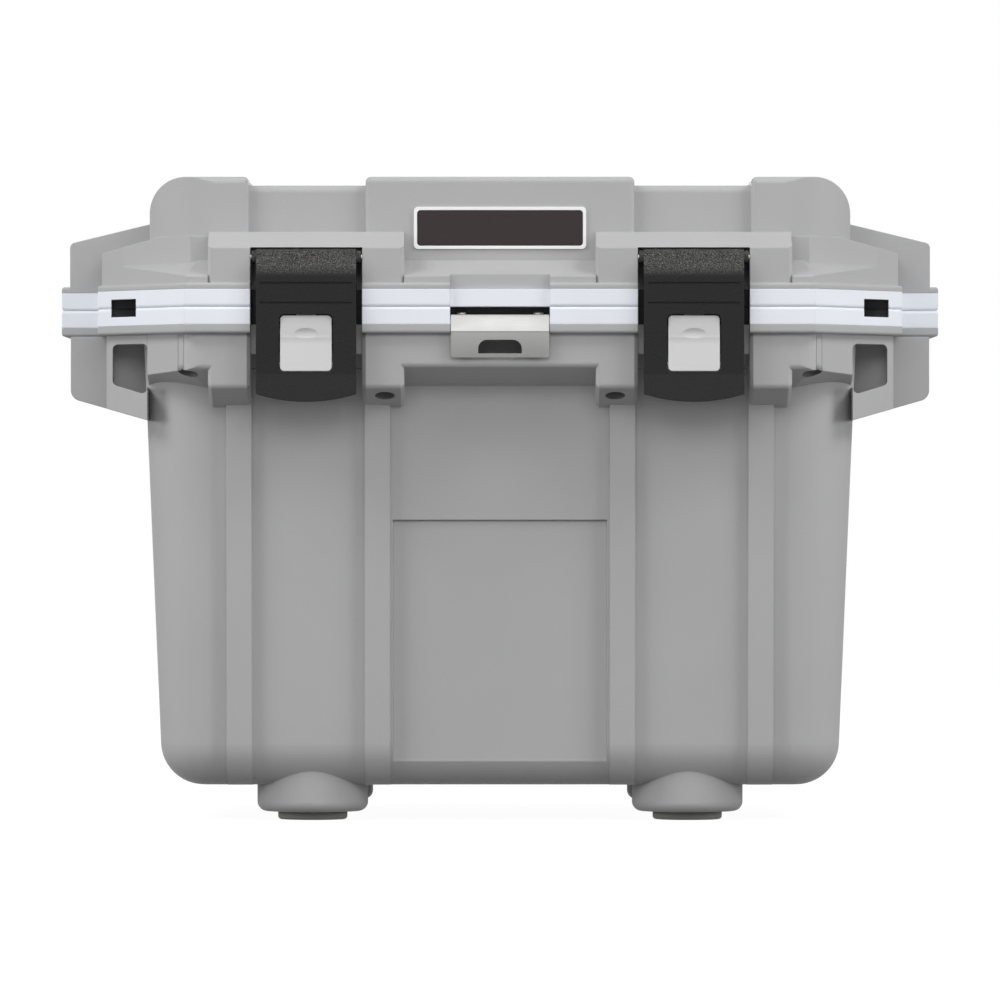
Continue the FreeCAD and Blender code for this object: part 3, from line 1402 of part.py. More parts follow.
def drain_fitting():
    """The tube through the wall with its flange in the recess."""
    tube = rod("DrainTube", "drain_tube_radius", "drain_seat - drain_inner_end", "drain_inner_end", "0",
               "drain_height", "X")
    flange = rod("DrainFlange", "drain_flange_radius", "drain_flange_height", "drain_seat", "0",
                 "drain_height", "X")
    bore = rod("DrainBore", "drain_bore_radius", "drain_face - drain_inner_end + 2",
               "drain_inner_end - 1", "0", "drain_height", "X")
    return less("DrainFitting", joined("DrainFittingWhole", tube, flange), bore)


def drain_nut():
    nut = doc.addObject("Part::Prism", "DrainNutHexagon")
    nut.Polygon = 6
    nut.setExpression("Circumradius", bound("drain_nut_radius"))
    nut.setExpression("Height", bound("drain_nut_height"))
    placed(nut, "drain_inner_end", "0", "drain_height", "X")
    bore = rod("DrainNutBore", "drain_tube_radius", "drain_nut_height + 2", "drain_inner_end - 1", "0",
               "drain_height", "X")
    return less("DrainNut", nut, bore)


def drain_seal():
    ring = rod("DrainSealDisc", "drain_bore_radius + 2 * drain_tube_wall", "drain_seal_thickness",
               "drain_face", "0", "drain_height", "X")
    bore = rod("DrainSealBore", "drain_bore_radius", "drain_seal_thickness + 2", "drain_face - 1", "0",
               "drain_height", "X")
    return less("DrainSeal", ring, bore)


def drain_plug():
    """The screw plug: a stem in the tube, a round cap and a finger bar."""
    stem = rod("PlugStem", "drain_bore_radius - drain_plug_clearance",
               "drain_plug_length + drain_seal_thickness",
               "drain_face - drain_plug_length", "0", "drain_height", "X")
    seat = "(drain_face + drain_seal_thickness)"
    cap = rod("PlugCap", "drain_cap_radius", "drain_cap_height / 2", seat, "0", "drain_height", "X")
    bar = box("PlugBar", (seat, f"{seat} + drain_cap_height"),
              ("-drain_grip_half_length", "drain_grip_half_length"),
              ("drain_height - drain_grip_half_width", "drain_height + drain_grip_half_width"))
    return joined("DrainPlug", stem, cap, bar)


# ---------------------------------------------------------------- assembly

tub_block = tub_outside()
handle = tub_handle(tub_block)
rim = tub_rim(tub_block)

NODES = {
    "tub_drain_seat": drain_seat(),
    "tub_outer_shell": tub_outer_shell(tub_block),
    "tub_rim_front": rim_part("RimFront", rim, "-front_reach", "0"),
    "tub_rim_rear": rim_part("RimRear", rim, "0", "hinge_depth + hinge_barrel_radius"),
    "tub_handle_left": flipped("HandleLeft", handle, ACROSS),
    "tub_handle_right": handle,
    "tub_basin": tub_basin(),
    "tub_band": tub_band(),
    "tub_foam": tub_foam(),
    "lid_outer_shell": lid_outer_shell(),
    "lid_liner": lid_liner(),
    "lid_foam": lid_foam(),
    "lid_gasket": gasket("LidGasket", "parting", "parting + gasket_height"),
    "bottle_opener": bottle_opener(),
    "name_plate": name_plate(),
    "name_plate_field": plate_field("NamePlateField"),
    "drain_fitting": drain_fitting(),
    "drain_nut": drain_nut(),
    "drain_seal": drain_seal(),
    "drain_plug": drain_plug(),
}

opener_screw = screw("OpenerScrew", "opener_screw_x", "-opener_screw_depth",
                     "(parting - opener_flange_drop)", "opener_screw_length", False)
NODES["opener_screws"] = both_sides("OpenerScrews", opener_screw)
foot_screw = screw("FootScrew", "foot_x", "foot_y", "(foot_pad_height - foot_screw_recess)",
                   "screw_length", True)
NODES["foot_screws"] = four_ways("FootScrews", foot_screw)

for label, word, sign in SIDES:
    NODES[f"latch_lever_{label}"] = latch_lever(word, sign)
    NODES[f"latch_pin_{label}"] = latch_pin(word, sign)
    NODES[f"latch_button_{label}"] = latch_button(word, sign)
    NODES[f"button_pin_{label}"] = button_pin(word, sign)
    NODES[f"button_spring_{label}"] = button_spring(word, sign)
    NODES[f"hinge_pin_{label}"] = hinge_pin(word, sign)
    for row, back in (("front", "-1"), ("rear", "1")):
        NODES[f"foot_pad_{row}_{label}"] = foot_pad(f"FootPad{row.title()}{word}", sign, back)

doc.recompute()

faults = []
for thing in doc.Objects:
    if "Invalid" in thing.State or "Error" in thing.State:
        faults.append(f"{thing.Name}: {thing.State}")
for label, thing in NODES.items():
    thing.Label = label
    if thing.Shape.isNull() or not thing.Shape.isValid() or not thing.Shape.Solids:
        faults.append(f"{label}: shape is null, empty or not valid")
if faults:
    raise RuntimeError("; ".join(faults))

os.makedirs("parts", exist_ok=True)
for label, thing in NODES.items():
    thing.Shape.exportStep(f"parts/{label}.step")
    box_now = thing.Shape.BoundBox
    print(f"{label}: {len(thing.Shape.Solids)} solid(s), {thing.Shape.Volume / 1000:.1f} cm3, "
          f"x {box_now.XMin:.1f}..{box_now.XMax:.1f}, y {box_now.YMin:.1f}..{box_now.YMax:.1f}, "
          f"z {box_now.ZMin:.1f}..{box_now.ZMax:.1f}")
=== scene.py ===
# %% [markdown]
# # A hard cooler chest
#
# This lesson gives a moulded cooler chest its finishes and stands it in a small studio. The chest
# itself, from its lid to its feet, was drawn as solids in a CAD program. Blender adds what a
# drawing lacks: the grain of the plastic, brushed steel, screws with their drives, light.

import json
import math

import bpy
import numpy as np
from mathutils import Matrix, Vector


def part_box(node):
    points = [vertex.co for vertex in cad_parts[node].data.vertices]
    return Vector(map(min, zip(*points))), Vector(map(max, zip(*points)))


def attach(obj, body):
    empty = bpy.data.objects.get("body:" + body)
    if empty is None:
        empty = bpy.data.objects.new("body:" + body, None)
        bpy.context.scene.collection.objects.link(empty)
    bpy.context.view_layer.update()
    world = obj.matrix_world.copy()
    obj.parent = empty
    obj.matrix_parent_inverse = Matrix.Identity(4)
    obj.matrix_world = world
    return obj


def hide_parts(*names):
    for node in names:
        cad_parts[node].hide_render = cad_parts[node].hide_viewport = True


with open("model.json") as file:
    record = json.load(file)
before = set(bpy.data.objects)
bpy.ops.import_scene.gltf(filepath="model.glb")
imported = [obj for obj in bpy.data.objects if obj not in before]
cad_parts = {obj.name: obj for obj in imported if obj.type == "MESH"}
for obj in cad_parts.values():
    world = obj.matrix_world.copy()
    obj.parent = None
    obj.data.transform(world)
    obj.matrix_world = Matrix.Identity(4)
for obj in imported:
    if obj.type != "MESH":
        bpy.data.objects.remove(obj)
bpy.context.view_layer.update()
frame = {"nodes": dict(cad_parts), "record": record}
nodes = frame["nodes"]

# %% [markdown]
# ## Millimetres and colours
#
# Blender measures in metres, but the details of a chest are easier to read in millimetres, so
# lengths below are numbers times MM. Colours are easier to think about as they look on a screen,
# from 0 to 255, but shaders add up light, so each is turned into its linear value first.

# %% Millimetres and colours
MM = 0.001


def linear(red, green, blue):
    """A screen colour as light: each share c becomes ((c + 0.055) / 1.055) to the power 2.4."""
    share = np.array([red, green, blue]) / 255.0
    light = np.where(share <= 0.04045, share / 12.92, ((share + 0.055) / 1.055) ** 2.4)
    return (*light.tolist(), 1.0)


def shaded(colour, factor):
    """The same colour, lighter or darker by a factor."""
    return (*[min(1.0, c * factor) for c in colour[:3]], 1.0)


GREY = linear(170, 170, 171)
print("the chest's grey as light:", [round(c, 3) for c in GREY[:3]])

# %% [markdown]
# ## A small vocabulary for shader trees
#
# Every finish here is a tree of shader nodes, and so are the floor and the sky. Written out node
# by node a tree is hard to follow, so a few short methods add a node, join it up and hand back
# its result. The ones in this cell do sums with numbers and mix colours.


# %% Sums and mixes
class Wiring:
    """A tree of nodes, with methods that add a node and join it up."""

    def __init__(self, tree):
        self.tree = tree

    def add(self, kind, **settings):
        node = self.tree.nodes.new(kind)
        for key, value in settings.items():
            setattr(node, key, value)
        return node

    def join(self, start, node, socket):
        self.tree.links.new(start, node.inputs[socket])

    def maths(self, operation, first, second=0.0):
        """One sum on two numbers or sockets."""
        node = self.add("ShaderNodeMath", operation=operation)
        for socket, value in enumerate((first, second)):
            if isinstance(value, (int, float)):
                node.inputs[socket].default_value = value
            else:
                self.join(value, node, socket)
        return node.outputs[0]

    def remap(self, source, low, high, new_low, new_high):
        """Stretches the range low to high onto new_low to new_high, held at both ends."""
        ramp = self.add("ShaderNodeMapRange", clamp=True)
        ends = {"From Min": low, "From Max": high, "To Min": new_low, "To Max": new_high}
        for socket, value in ends.items():
            ramp.inputs[socket].default_value = value
        self.join(source, ramp, "Value")
        return ramp.outputs["Result"]

    def blend(self, share, first, second):
        """A mix of two colours, by a share from 0 to 1. Each may be a colour or a socket."""
        mix = self.add("ShaderNodeMix", data_type="RGBA")
        self.join(share, mix, "Factor")
        for socket, colour in ((6, first), (7, second)):
            if isinstance(colour, tuple):
                mix.inputs[socket].default_value = colour
            else:
                self.join(colour, mix, socket)
        return mix.outputs[2]


print("sums and mixes:", [word for word in vars(Wiring) if not word.startswith("_")])

# %% [markdown]
# ## Patterns and reliefs
#
# A finish adds what a plain colour lacks: clouds and cells of tone, pebbles that tilt the
# surface, and edges that a mould has eased. All of them read the object's own coordinates, so a
# pattern stays with its piece when the lid opens or the camera moves. The Bevel node eases
# edges in shading alone, which suits roundings too small to be worth a face.

# %% Patterns and reliefs
NOISE_SPAN = (0.3, 0.7)  # cloudy noise seldom leaves this range


class Recipe(Wiring):
    """One material: patterns and reliefs that end in one shader."""

    def __init__(self, name, colour, roughness, metallic=0.0, specular=0.5):
        self.material = bpy.data.materials.new(name)
        self.material.use_nodes = True
        super().__init__(self.material.node_tree)
        self.shader = self.tree.nodes["Principled BSDF"]
        self.shader.inputs["Base Color"].default_value = colour
        self.shader.inputs["Roughness"].default_value = roughness
        self.shader.inputs["Metallic"].default_value = metallic
        self.shader.inputs["Specular IOR Level"].default_value = specular
        self.material.diffuse_color = colour
        self.place = self.add("ShaderNodeTexCoord").outputs["Object"]

    def axes(self):
        """The three coordinates of the point, with x as its distance from the middle."""
        split = self.add("ShaderNodeSeparateXYZ")
        self.join(self.place, split, "Vector")
        return self.maths("ABSOLUTE", split.outputs["X"]), split.outputs["Y"], split.outputs["Z"]

    def noise(self, size, detail=3.0, stretch=(1.0, 1.0, 1.0)):
        """Cloudy noise whose blotches are about size metres across, longer where stretch says."""
        turn = self.add("ShaderNodeMapping")
        turn.inputs["Scale"].default_value = [1.0 / (size * s) for s in stretch]
        self.join(self.place, turn, "Vector")
        cloud = self.add("ShaderNodeTexNoise")
        cloud.inputs["Scale"].default_value = 1.0
        cloud.inputs["Detail"].default_value = detail
        self.join(turn.outputs["Vector"], cloud, "Vector")
        return cloud.outputs["Fac"]

    def cells(self, size):
        """Distance to the nearest of scattered points about size metres apart."""
        web = self.add("ShaderNodeTexVoronoi", feature="F1")
        web.inputs["Scale"].default_value = 1.0 / size
        self.join(self.place, web, "Vector")
        return web.outputs["Distance"]

    def soft_edges(self, radius):
        """The surface's direction with every edge eased over a radius, as a mould leaves it."""
        ease = self.add("ShaderNodeBevel", samples=4)
        ease.inputs["Radius"].default_value = radius
        return ease.outputs["Normal"]

    def edge_share(self, eased):
        """How much an edge turns the eased direction away from the flat one: 0 on a flat.

        The dot product of the two directions is 1 on a flat and falls to 0.75 on an edge.
        """
        flat = self.add("ShaderNodeNewGeometry").outputs["Normal"]
        dot = self.add("ShaderNodeVectorMath", operation="DOT_PRODUCT")
        self.join(flat, dot, 0)
        self.join(eased, dot, 1)
        return self.remap(dot.outputs["Value"], 1.0, 0.75, 0.0, 1.0)

    def bump(self, height, depth, normal=None):
        """Tilts the surface as a relief of that depth in metres would."""
        relief = self.add("ShaderNodeBump")
        relief.inputs["Strength"].default_value = 1.0
        relief.inputs["Distance"].default_value = depth
        self.join(height, relief, "Height")
        if normal is not None:
            self.join(normal, relief, "Normal")
        return relief.outputs["Normal"]

    def finish(self, colour, roughness, normal):
        """Joins what was worked out to the shader and hands back the material."""
        ends = {"Base Color": colour, "Roughness": roughness, "Normal": normal}
        for socket, source in ends.items():
            if source is not None:
                self.join(source, self.shader, socket)
        return self.material


print("patterns and reliefs:", [word for word in vars(Recipe) if not word.startswith("_")])

# %% [markdown]
# ## Painted shade in the deep places
#
# On a real chest the hollows behind the latches, the slots at the ends of the rim and the
# tie-down holes run deep into the walls, and look nearly black in their own shade. The drawing
# leaves them shallower, so the finish paints that shade in: it darkens their walls. Blocks and
# upright bores say where: a block is given by two corners, a bore by its axis, and both are
# worked out from the coordinates alone. The thumb buttons get a little painted shade too, at
# the top of their hollow scoop.
# The thumb buttons get a little grime too, at the top, where the thumb rubs.

# %% Painted shade
# the near-black colour of painted shade, for hollows, holes, button scoops and the opener's crease
SHADE_BLACK = linear(24, 25, 28)
SHADE_MARGIN = 0.2 * MM
# painted shade in the white rim's deep places: behind each latch, in the end slots, over the opener
RIM_HOLLOWS = (
    ((98.2 * MM, -195.0 * MM, 357.5 * MM), (179.0 * MM, -190.0 * MM, 386.0 * MM)),
    ((262.4 * MM, -180.0 * MM, 363.9 * MM), (280.9 * MM, -136.0 * MM, 376.5 * MM)),
    ((0.0, -194.0 * MM, 364.0 * MM), (35.6 * MM, -190.0 * MM, 370.3 * MM)),
)
# the tie-down holes, whose lower walls get painted shade, up to a height and this dark
TIE_HOLES = ((82.6 * MM, 204.0 * MM), (223.6 * MM, 207.0 * MM))
TIE_HOLE_RADIUS = 7.05 * MM
TIE_HOLE_SHADE_TOP = 328.0 * MM
TIE_HOLE_SHADE = 0.7
# the thumb buttons get painted shade in their scoop, from their middle to their top
BUTTON_MIDDLE, BUTTON_TOP = 343.0 * MM, 350.0 * MM
THUMB_SCOOP_SHADE = 0.3


def inside(recipe, low, high):
    """1 in the block between two corners, and in its mirror image, and 0 a margin outside.

    The distance outside is the largest, over the axes, of |point - middle| - half size.
    """
    outside = -1.0
    for along, start, end in zip(recipe.axes(), low, high):
        offset = recipe.maths("ABSOLUTE", recipe.maths("SUBTRACT", along, (start + end) / 2))
        beyond = recipe.maths("SUBTRACT", offset, (end - start) / 2)
        outside = recipe.maths("MAXIMUM", beyond, outside)
    return recipe.remap(outside, 0.0, SHADE_MARGIN, 1.0, 0.0)


def bored(recipe, across, along, radius, top):
    """1 on the walls of upright holes at (+-across, +-along), under a height, and 0 around.

    The distance from a hole's axis is the square root of dx squared plus dy squared.
    """
    x, y, z = recipe.axes()
    dx = recipe.maths("SUBTRACT", x, across)
    dy = recipe.maths("SUBTRACT", recipe.maths("ABSOLUTE", y), along)
    squares = (recipe.maths("MULTIPLY", dx, dx), recipe.maths("MULTIPLY", dy, dy))
    reach = recipe.maths("SQRT", recipe.maths("ADD", *squares))
    wall = recipe.remap(reach, radius, radius + SHADE_MARGIN, 1.0, 0.0)
    return recipe.maths("MULTIPLY", wall, recipe.maths("LESS_THAN", z, top))


def rim_shade(recipe):
    """The painted shade of the rim's hollows: the largest of their shares."""
    share = 0.0
    for low, high in RIM_HOLLOWS:
        share = recipe.maths("MAXIMUM", inside(recipe, low, high), share)
    return share


def hole_shade(recipe):
    """Painted shade on the lower walls of the eight tie-down holes."""
    share = 0.0
    for across, along in TIE_HOLES:
        wall = bored(recipe, across, along, TIE_HOLE_RADIUS, TIE_HOLE_SHADE_TOP)
        share = recipe.maths("MAXIMUM", wall, share)
    return recipe.maths("MULTIPLY", share, TIE_HOLE_SHADE)


def thumb_scoop_shade(recipe):
    """Painted shade in the scoop of a button's upper half: most at its top, none by its middle."""
    rubbed = recipe.remap(recipe.axes()[2], BUTTON_MIDDLE, BUTTON_TOP, 0.0, 1.0)
    return recipe.maths("MULTIPLY", rubbed, THUMB_SCOOP_SHADE)


print("grimy places:", len(RIM_HOLLOWS), "hollows of the rim,", 4 * len(TIE_HOLES), "holes")

# %% [markdown]
# ## Moulded plastic
#
# The chest is moulded from a tough grey plastic. Its mould was blasted with grit, so the skin is
# matt and finely pebbled, and every edge that the drawing shows sharp comes out of the mould a
# little rounded. Handling polishes those edges, which makes them a touch lighter. One function
# makes every plastic of the chest's walls and buttons, because they differ only in colour, in
# how coarse the pebbles are and in how much they shine.

# %% One function for all moulded plastics
CLOUD_SIZE = 110.0 * MM
CLOUD_TONE = 0.03


def moulded(name, colour, roughness, pebble, depth, edge=1.2 * MM, worn=1.06, grimy=None):
    """Plastic with pebbles of a size and depth, eased edges, faint clouds and handled edges.

    A further function may give a share of the surface that is painted dark as shade.
    """
    recipe = Recipe(name, colour, roughness, specular=0.42)
    eased = recipe.soft_edges(edge)
    clouds = recipe.remap(recipe.noise(CLOUD_SIZE, 4.0), *NOISE_SPAN, 0.0, 1.0)
    dull, bright = shaded(colour, 1.0 - CLOUD_TONE), shaded(colour, 1.0 + CLOUD_TONE)
    tone = recipe.blend(clouds, dull, bright)
    tone = recipe.blend(recipe.edge_share(eased), tone, shaded(colour, worn))
    # painted shade: where that share says, the tone turns near black
    if grimy:
        tone = recipe.blend(grimy(recipe), tone, SHADE_BLACK)
    pebbles = recipe.noise(pebble, 4.0)
    shine = recipe.remap(pebbles, *NOISE_SPAN, roughness - 0.05, roughness + 0.06)
    return recipe.finish(tone, shine, recipe.bump(pebbles, depth, eased))


GREY_SKIN = (GREY, 0.62, 1.1 * MM, 0.1 * MM)
WHITE = linear(228, 232, 239)
BUTTON = linear(212, 212, 212)

# painted shade goes in the grey's tie-down holes, the white rim's hollows and the buttons' scoops
grey_plastic = moulded("grey moulded plastic", *GREY_SKIN, grimy=hole_shade)
white_plastic = moulded("white liner plastic", WHITE, 0.42, 1.4 * MM, 0.03 * MM,
                        worn=1.02, grimy=rim_shade)
button_plastic = moulded("button plastic", BUTTON, 0.38, 0.7 * MM, 0.02 * MM,
                         edge=0.8 * MM, grimy=thumb_scoop_shade)
print("plastics:", [m.name for m in (grey_plastic, white_plastic, button_plastic)])

# %% [markdown]
# ## Leathery black plastic
#
# The latches and the drain parts are black, with a coarser skin than the chest: the mould was
# etched, which leaves small round bumps with valleys between them. Points scattered in space
# give such a skin when the distance to the nearest point is used as the height. Fine noise on
# top breaks up the shine. On the rounded pivot of each latch the grain is deeper, and its tips
# are painted grey as glints of the light from above, so that place looks leathery and pale.

# %% Black plastic
BLACK = linear(22, 22, 23)
# the colour of the painted glints on the tips of the pivot's grain
GLINT_GREY = linear(122, 121, 119)
# the pivot's deeper grain and its painted glints set in between these heights
BARREL_FOOT = (392.0 * MM, 399.0 * MM)  # heights between which the pivot's grain sets in


def etched(name, colour, roughness, bump_size, depth):
    """Plastic with round bumps: height is one minus the distance to scattered points.

    The barrel, above the lever's face, is etched deeper, and the tips of its grain carry painted
    glints.
    """
    recipe = Recipe(name, colour, roughness, specular=0.22)
    eased = recipe.soft_edges(0.9 * MM)
    barrel = recipe.remap(recipe.axes()[2], *BARREL_FOOT, 0.0, 1.0)
    bumps = recipe.remap(recipe.cells(bump_size), 0.0, 0.8, 1.0, 0.0)
    fine = recipe.noise(bump_size * 0.6)
    tips = recipe.remap(recipe.noise(bump_size * 0.45, 4.0), 0.46, 0.66, 0.0, 1.0)
    tip_glints_and_relief = recipe.maths("MULTIPLY", tips, barrel)
    tone = recipe.blend(bumps, shaded(colour, 0.82), shaded(colour, 1.12))
    tone = recipe.blend(recipe.edge_share(eased), tone, shaded(colour, 1.6))
    # painted glints: the grain's tips on the pivot turn pale grey
    tone = recipe.blend(tip_glints_and_relief, tone, GLINT_GREY)
    shine = recipe.remap(fine, *NOISE_SPAN, roughness - 0.10, roughness + 0.12)
    rough_skin = recipe.bump(bumps, depth, eased)
    deep_skin = recipe.bump(tip_glints_and_relief, depth * 2.0, rough_skin)
    return recipe.finish(tone, shine, recipe.bump(fine, depth * 0.5, deep_skin))


black_plastic = etched("etched black plastic", BLACK, 0.52, 1.3 * MM, 0.12 * MM)
print("black plastic:", black_plastic.name)

# %% [markdown]
# ## Rubber
#
# The feet and the seals are rubber: nearly dull, with a dusty bloom that lies on it in clouds.
# Noise paints the bloom, and the surface is a little rougher where the dust is.


# %% Rubber for the feet and the seals
def rubber(name, colour, bloom):
    """Dull rubber whose bloom, a paler dust, lies in clouds of a few centimetres."""
    recipe = Recipe(name, colour, 0.8)
    eased = recipe.soft_edges(1.2 * MM)
    dust = recipe.remap(recipe.noise(20.0 * MM, 5.0), 0.45, 0.7, 0.0, 1.0)
    tone = recipe.blend(dust, colour, bloom)
    skin = recipe.noise(0.6 * MM, 2.0)
    shine = recipe.remap(dust, 0.0, 1.0, 0.7, 0.9)
    return recipe.finish(tone, shine, recipe.bump(skin, 0.05 * MM, eased))


foot_rubber = rubber("foot rubber", linear(134, 135, 128), linear(147, 148, 141))
seal_rubber = rubber("seal rubber", linear(58, 58, 60), linear(74, 74, 76))
print("rubbers:", [m.name for m in (foot_rubber, seal_rubber)])

# %% [markdown]
# ## Brushed steel
#
# The bottle opener, the pins and the screws are stainless steel. A belt was drawn across the
# sheet, so its scratches run one way. Noise that is stretched a hundred times longer along the
# width than across it gives both the faint stripes of tone and the fine grooves. The opener's
# lower face was blasted after it was bent, so it is rougher and finely pitted. Its darker tone,
# darker towards the bottom, is painted shade for the dim reflection of that face, and a dark
# line of painted shade lies in the crease of the bend.

# %% Steel
# on the opener's lower face: the blast's soft edge, the drop over which its painted shade deepens,
# and the band of painted crease shade
BLAST_EDGE = 0.5 * MM
SHADED_LIP = 18.0 * MM
CREASE_SHADE = 1.6 * MM


def blasted_and_shaded(recipe, colour, top, tone, shine, relief):
    """The tone, shine and relief of brushed metal, with what lies under a height blasted and
    painted darker as shade.
    """
    height = recipe.axes()[2]
    fold = recipe.remap(height, top - BLAST_EDGE, top, 1.0, 0.0)
    pits = recipe.remap(recipe.noise(0.5 * MM), 0.35, 0.65, 0.0, 1.0)
    lip = recipe.remap(height, top - SHADED_LIP, top, 1.0, 0.0)
    # painted shade: the lower face darker, more so towards the bottom, and a dark line in the
    # crease under the bend
    dull = recipe.blend(lip, shaded(colour, 0.42), shaded(colour, 0.3))
    dull = recipe.blend(recipe.maths("MULTIPLY", pits, 0.3), dull, shaded(colour, 0.4))
    dull = recipe.blend(recipe.remap(height, top - CREASE_SHADE, top, 0.0, 0.6), dull, SHADE_BLACK)
    tone = recipe.blend(fold, tone, dull)
    shine = recipe.maths("ADD", shine, recipe.maths("MULTIPLY", fold, 0.12))
    return tone, shine, recipe.bump(recipe.maths("MULTIPLY", pits, fold), 0.02 * MM, relief)


def brushed(name, colour, roughness, blasted_and_shaded_under=None):
    """Metal with long fine scratches along X, in tone, in shine and in relief.

    Under a height it may be blasted instead, with its tone painted darker as shade.
    """
    recipe = Recipe(name, colour, roughness, metallic=1.0)
    eased = recipe.soft_edges(0.6 * MM)
    scratches = recipe.noise(0.35 * MM, stretch=(110.0, 1.0, 1.0))
    smears = recipe.noise(12.0 * MM, stretch=(3.0, 1.0, 1.0))
    tone = recipe.blend(scratches, shaded(colour, 0.93), shaded(colour, 1.05))
    shine = recipe.remap(smears, *NOISE_SPAN, roughness - 0.05, roughness + 0.07)
    relief = recipe.bump(scratches, 0.01 * MM, eased)
    if blasted_and_shaded_under:
        tone, shine, relief = blasted_and_shaded(recipe, colour, blasted_and_shaded_under, tone, shine, relief)
    return recipe.finish(tone, shine, relief)


OPENER_BEND = 352.8 * MM

steel = brushed("brushed steel", linear(214, 214, 213), 0.32)
opener_steel = brushed("opener steel", linear(224, 224, 222), 0.3, blasted_and_shaded_under=OPENER_BEND)
print("steels:", [m.name for m in (steel, opener_steel)])

# %% [markdown]
# ## Foam
#
# The foam that fills the walls can't be seen on a closed chest, but it is there, and a cut
# through it would show small closed cells. Scattered points give them: the further from the
# nearest point, the nearer to a wall between two cells, and the lighter.


# %% Foam
def foamed(name, colour):
    """Foam: the distance to scattered points darkens the middle of every cell."""
    recipe = Recipe(name, colour, 0.95)
    cell = recipe.cells(1.1 * MM)
    tone = recipe.blend(recipe.remap(cell, 0.0, 0.7, 0.0, 1.0), shaded(colour, 0.8), colour)
    return recipe.finish(tone, None, recipe.bump(cell, 0.3 * MM))


foam = foamed("poured foam", linear(232, 219, 176))
print("foam:", foam.name)

# %% [markdown]
# ## The name plate
#
# The name plate is a printed frame around a dark field that is left bare. Both are smooth, but
# not quite: the print has fine flecks, and the varnish over it the slight waves that painters
# call orange peel. A wide, very shallow noise gives those waves.


# %% Varnished plate
def varnished(name, colour, roughness, fleck):
    """Printed plastic with faint flecks in its tone and a slight orange peel."""
    recipe = Recipe(name, colour, roughness, specular=0.2)
    eased = recipe.soft_edges(0.5 * MM)
    flecks = recipe.remap(recipe.noise(1.2 * MM, 4.0), 0.35, 0.65, 0.0, 1.0)
    tone = recipe.blend(flecks, shaded(colour, 1.0 - fleck), shaded(colour, 1.0 + fleck))
    peel = recipe.noise(4.0 * MM, 2.0)
    shine = recipe.remap(peel, *NOISE_SPAN, roughness - 0.04, roughness + 0.05)
    return recipe.finish(tone, shine, recipe.bump(peel, 0.02 * MM, eased))


plate_white = varnished("plate frame", linear(240, 240, 240), 0.35, 0.01)
plate_dark = varnished("plate field", linear(50, 42, 44), 0.42, 0.05)
print("plate:", [m.name for m in (plate_white, plate_dark)])

# %% [markdown]
# ## Dressing the solids
#
# Each solid already carries the name of its material slot. The finishes are put in by that
# name, so that a solid added later under the same slot is dressed too. Only the opener differs
# from the other steel pieces, because a part of it is blasted and painted darker as shade.

# %% Put the finishes in their slots
FINISHES = {
    "grey_plastic": grey_plastic,
    "white_plastic": white_plastic,
    "black_plastic": black_plastic,
    "button_plastic": button_plastic,
    "rubber": foot_rubber,
    "gasket_rubber": seal_rubber,
    "steel": steel,
    "foam": foam,
    "badge_white": plate_white,
    "badge_dark": plate_dark,
}
slot_of = {item["node"]: item["material_slot"] for item in frame["record"]["subparts"]}
for name, node in nodes.items():
    for place in range(len(node.material_slots)):
        node.material_slots[place].material = FINISHES[slot_of[name]]
nodes["bottle_opener"].material_slots[0].material = opener_steel
print("dressed:", len(nodes), "solids with", len(FINISHES), "finishes")

# %% [markdown]
# ## Surfaces from numbers
#
# New pieces are worked out as grids of points: two parameters run over the surface, numpy
# computes every point at once, and neighbours on the grid become faces. One helper turns any
# such grid into a mesh, closing it around where the surface meets itself.


# %% Grid to mesh
def grid_mesh(name, points, material, slot, body, close_u=False, close_v=False, caps=False):
    """A smooth mesh from an array of rows by columns by 3 numbers, with faces outwards.

    Caps close the first and last rows. The volume that the faces enclose, a sixth of the sum
    of their corners' triple products, is negative where they point inwards.
    """
    rows, columns, _ = points.shape
    index = np.arange(rows * columns).reshape(rows, columns)
    upper = index if close_u else index[:-1]
    down = np.roll(index, -1, 0) if close_u else index[1:]
    left, left_down = (upper, down) if close_v else (upper[:, :-1], down[:, :-1])
    right, right_down = ((np.roll(grid, -1, 1) if close_v else grid[:, 1:])
                         for grid in (upper, down))
    faces = np.stack([left, left_down, right_down, right], -1).reshape(-1, 4)
    corners = points.reshape(-1, 3)[faces]
    volume = np.einsum("fi,fi->", corners[:, 0], np.cross(corners[:, 1], corners[:, 2]))
    volume += np.einsum("fi,fi->", corners[:, 0], np.cross(corners[:, 2], corners[:, 3]))
    rings = [index[0].tolist(), index[-1][::-1].tolist()] if caps else []
    faces = faces.tolist() + rings
    if (close_u or caps) and volume < 0.0:
        faces = [face[::-1] for face in faces]
    mesh = bpy.data.meshes.new(name)
    mesh.from_pydata(points.reshape(-1, 3).tolist(), [], faces)
    mesh.polygons.foreach_set("use_smooth", np.ones(len(faces), bool))
    mesh.update()
    piece = bpy.data.objects.new(name, mesh)
    bpy.context.scene.collection.objects.link(piece)
    mesh.materials.append(material)
    if body:
        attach(piece, body)
    return piece


print("helper for meshes:", grid_mesh.__name__)

# %% [markdown]
# ## Pieces turned on a lathe
#
# The rubber feet and the screws are all turned shapes: a profile, given as distances from an
# axis and heights along it, is carried round the axis. The same array step makes every one of
# them. The profile of a foot closes on itself, like a ring, because a screw passes through it.


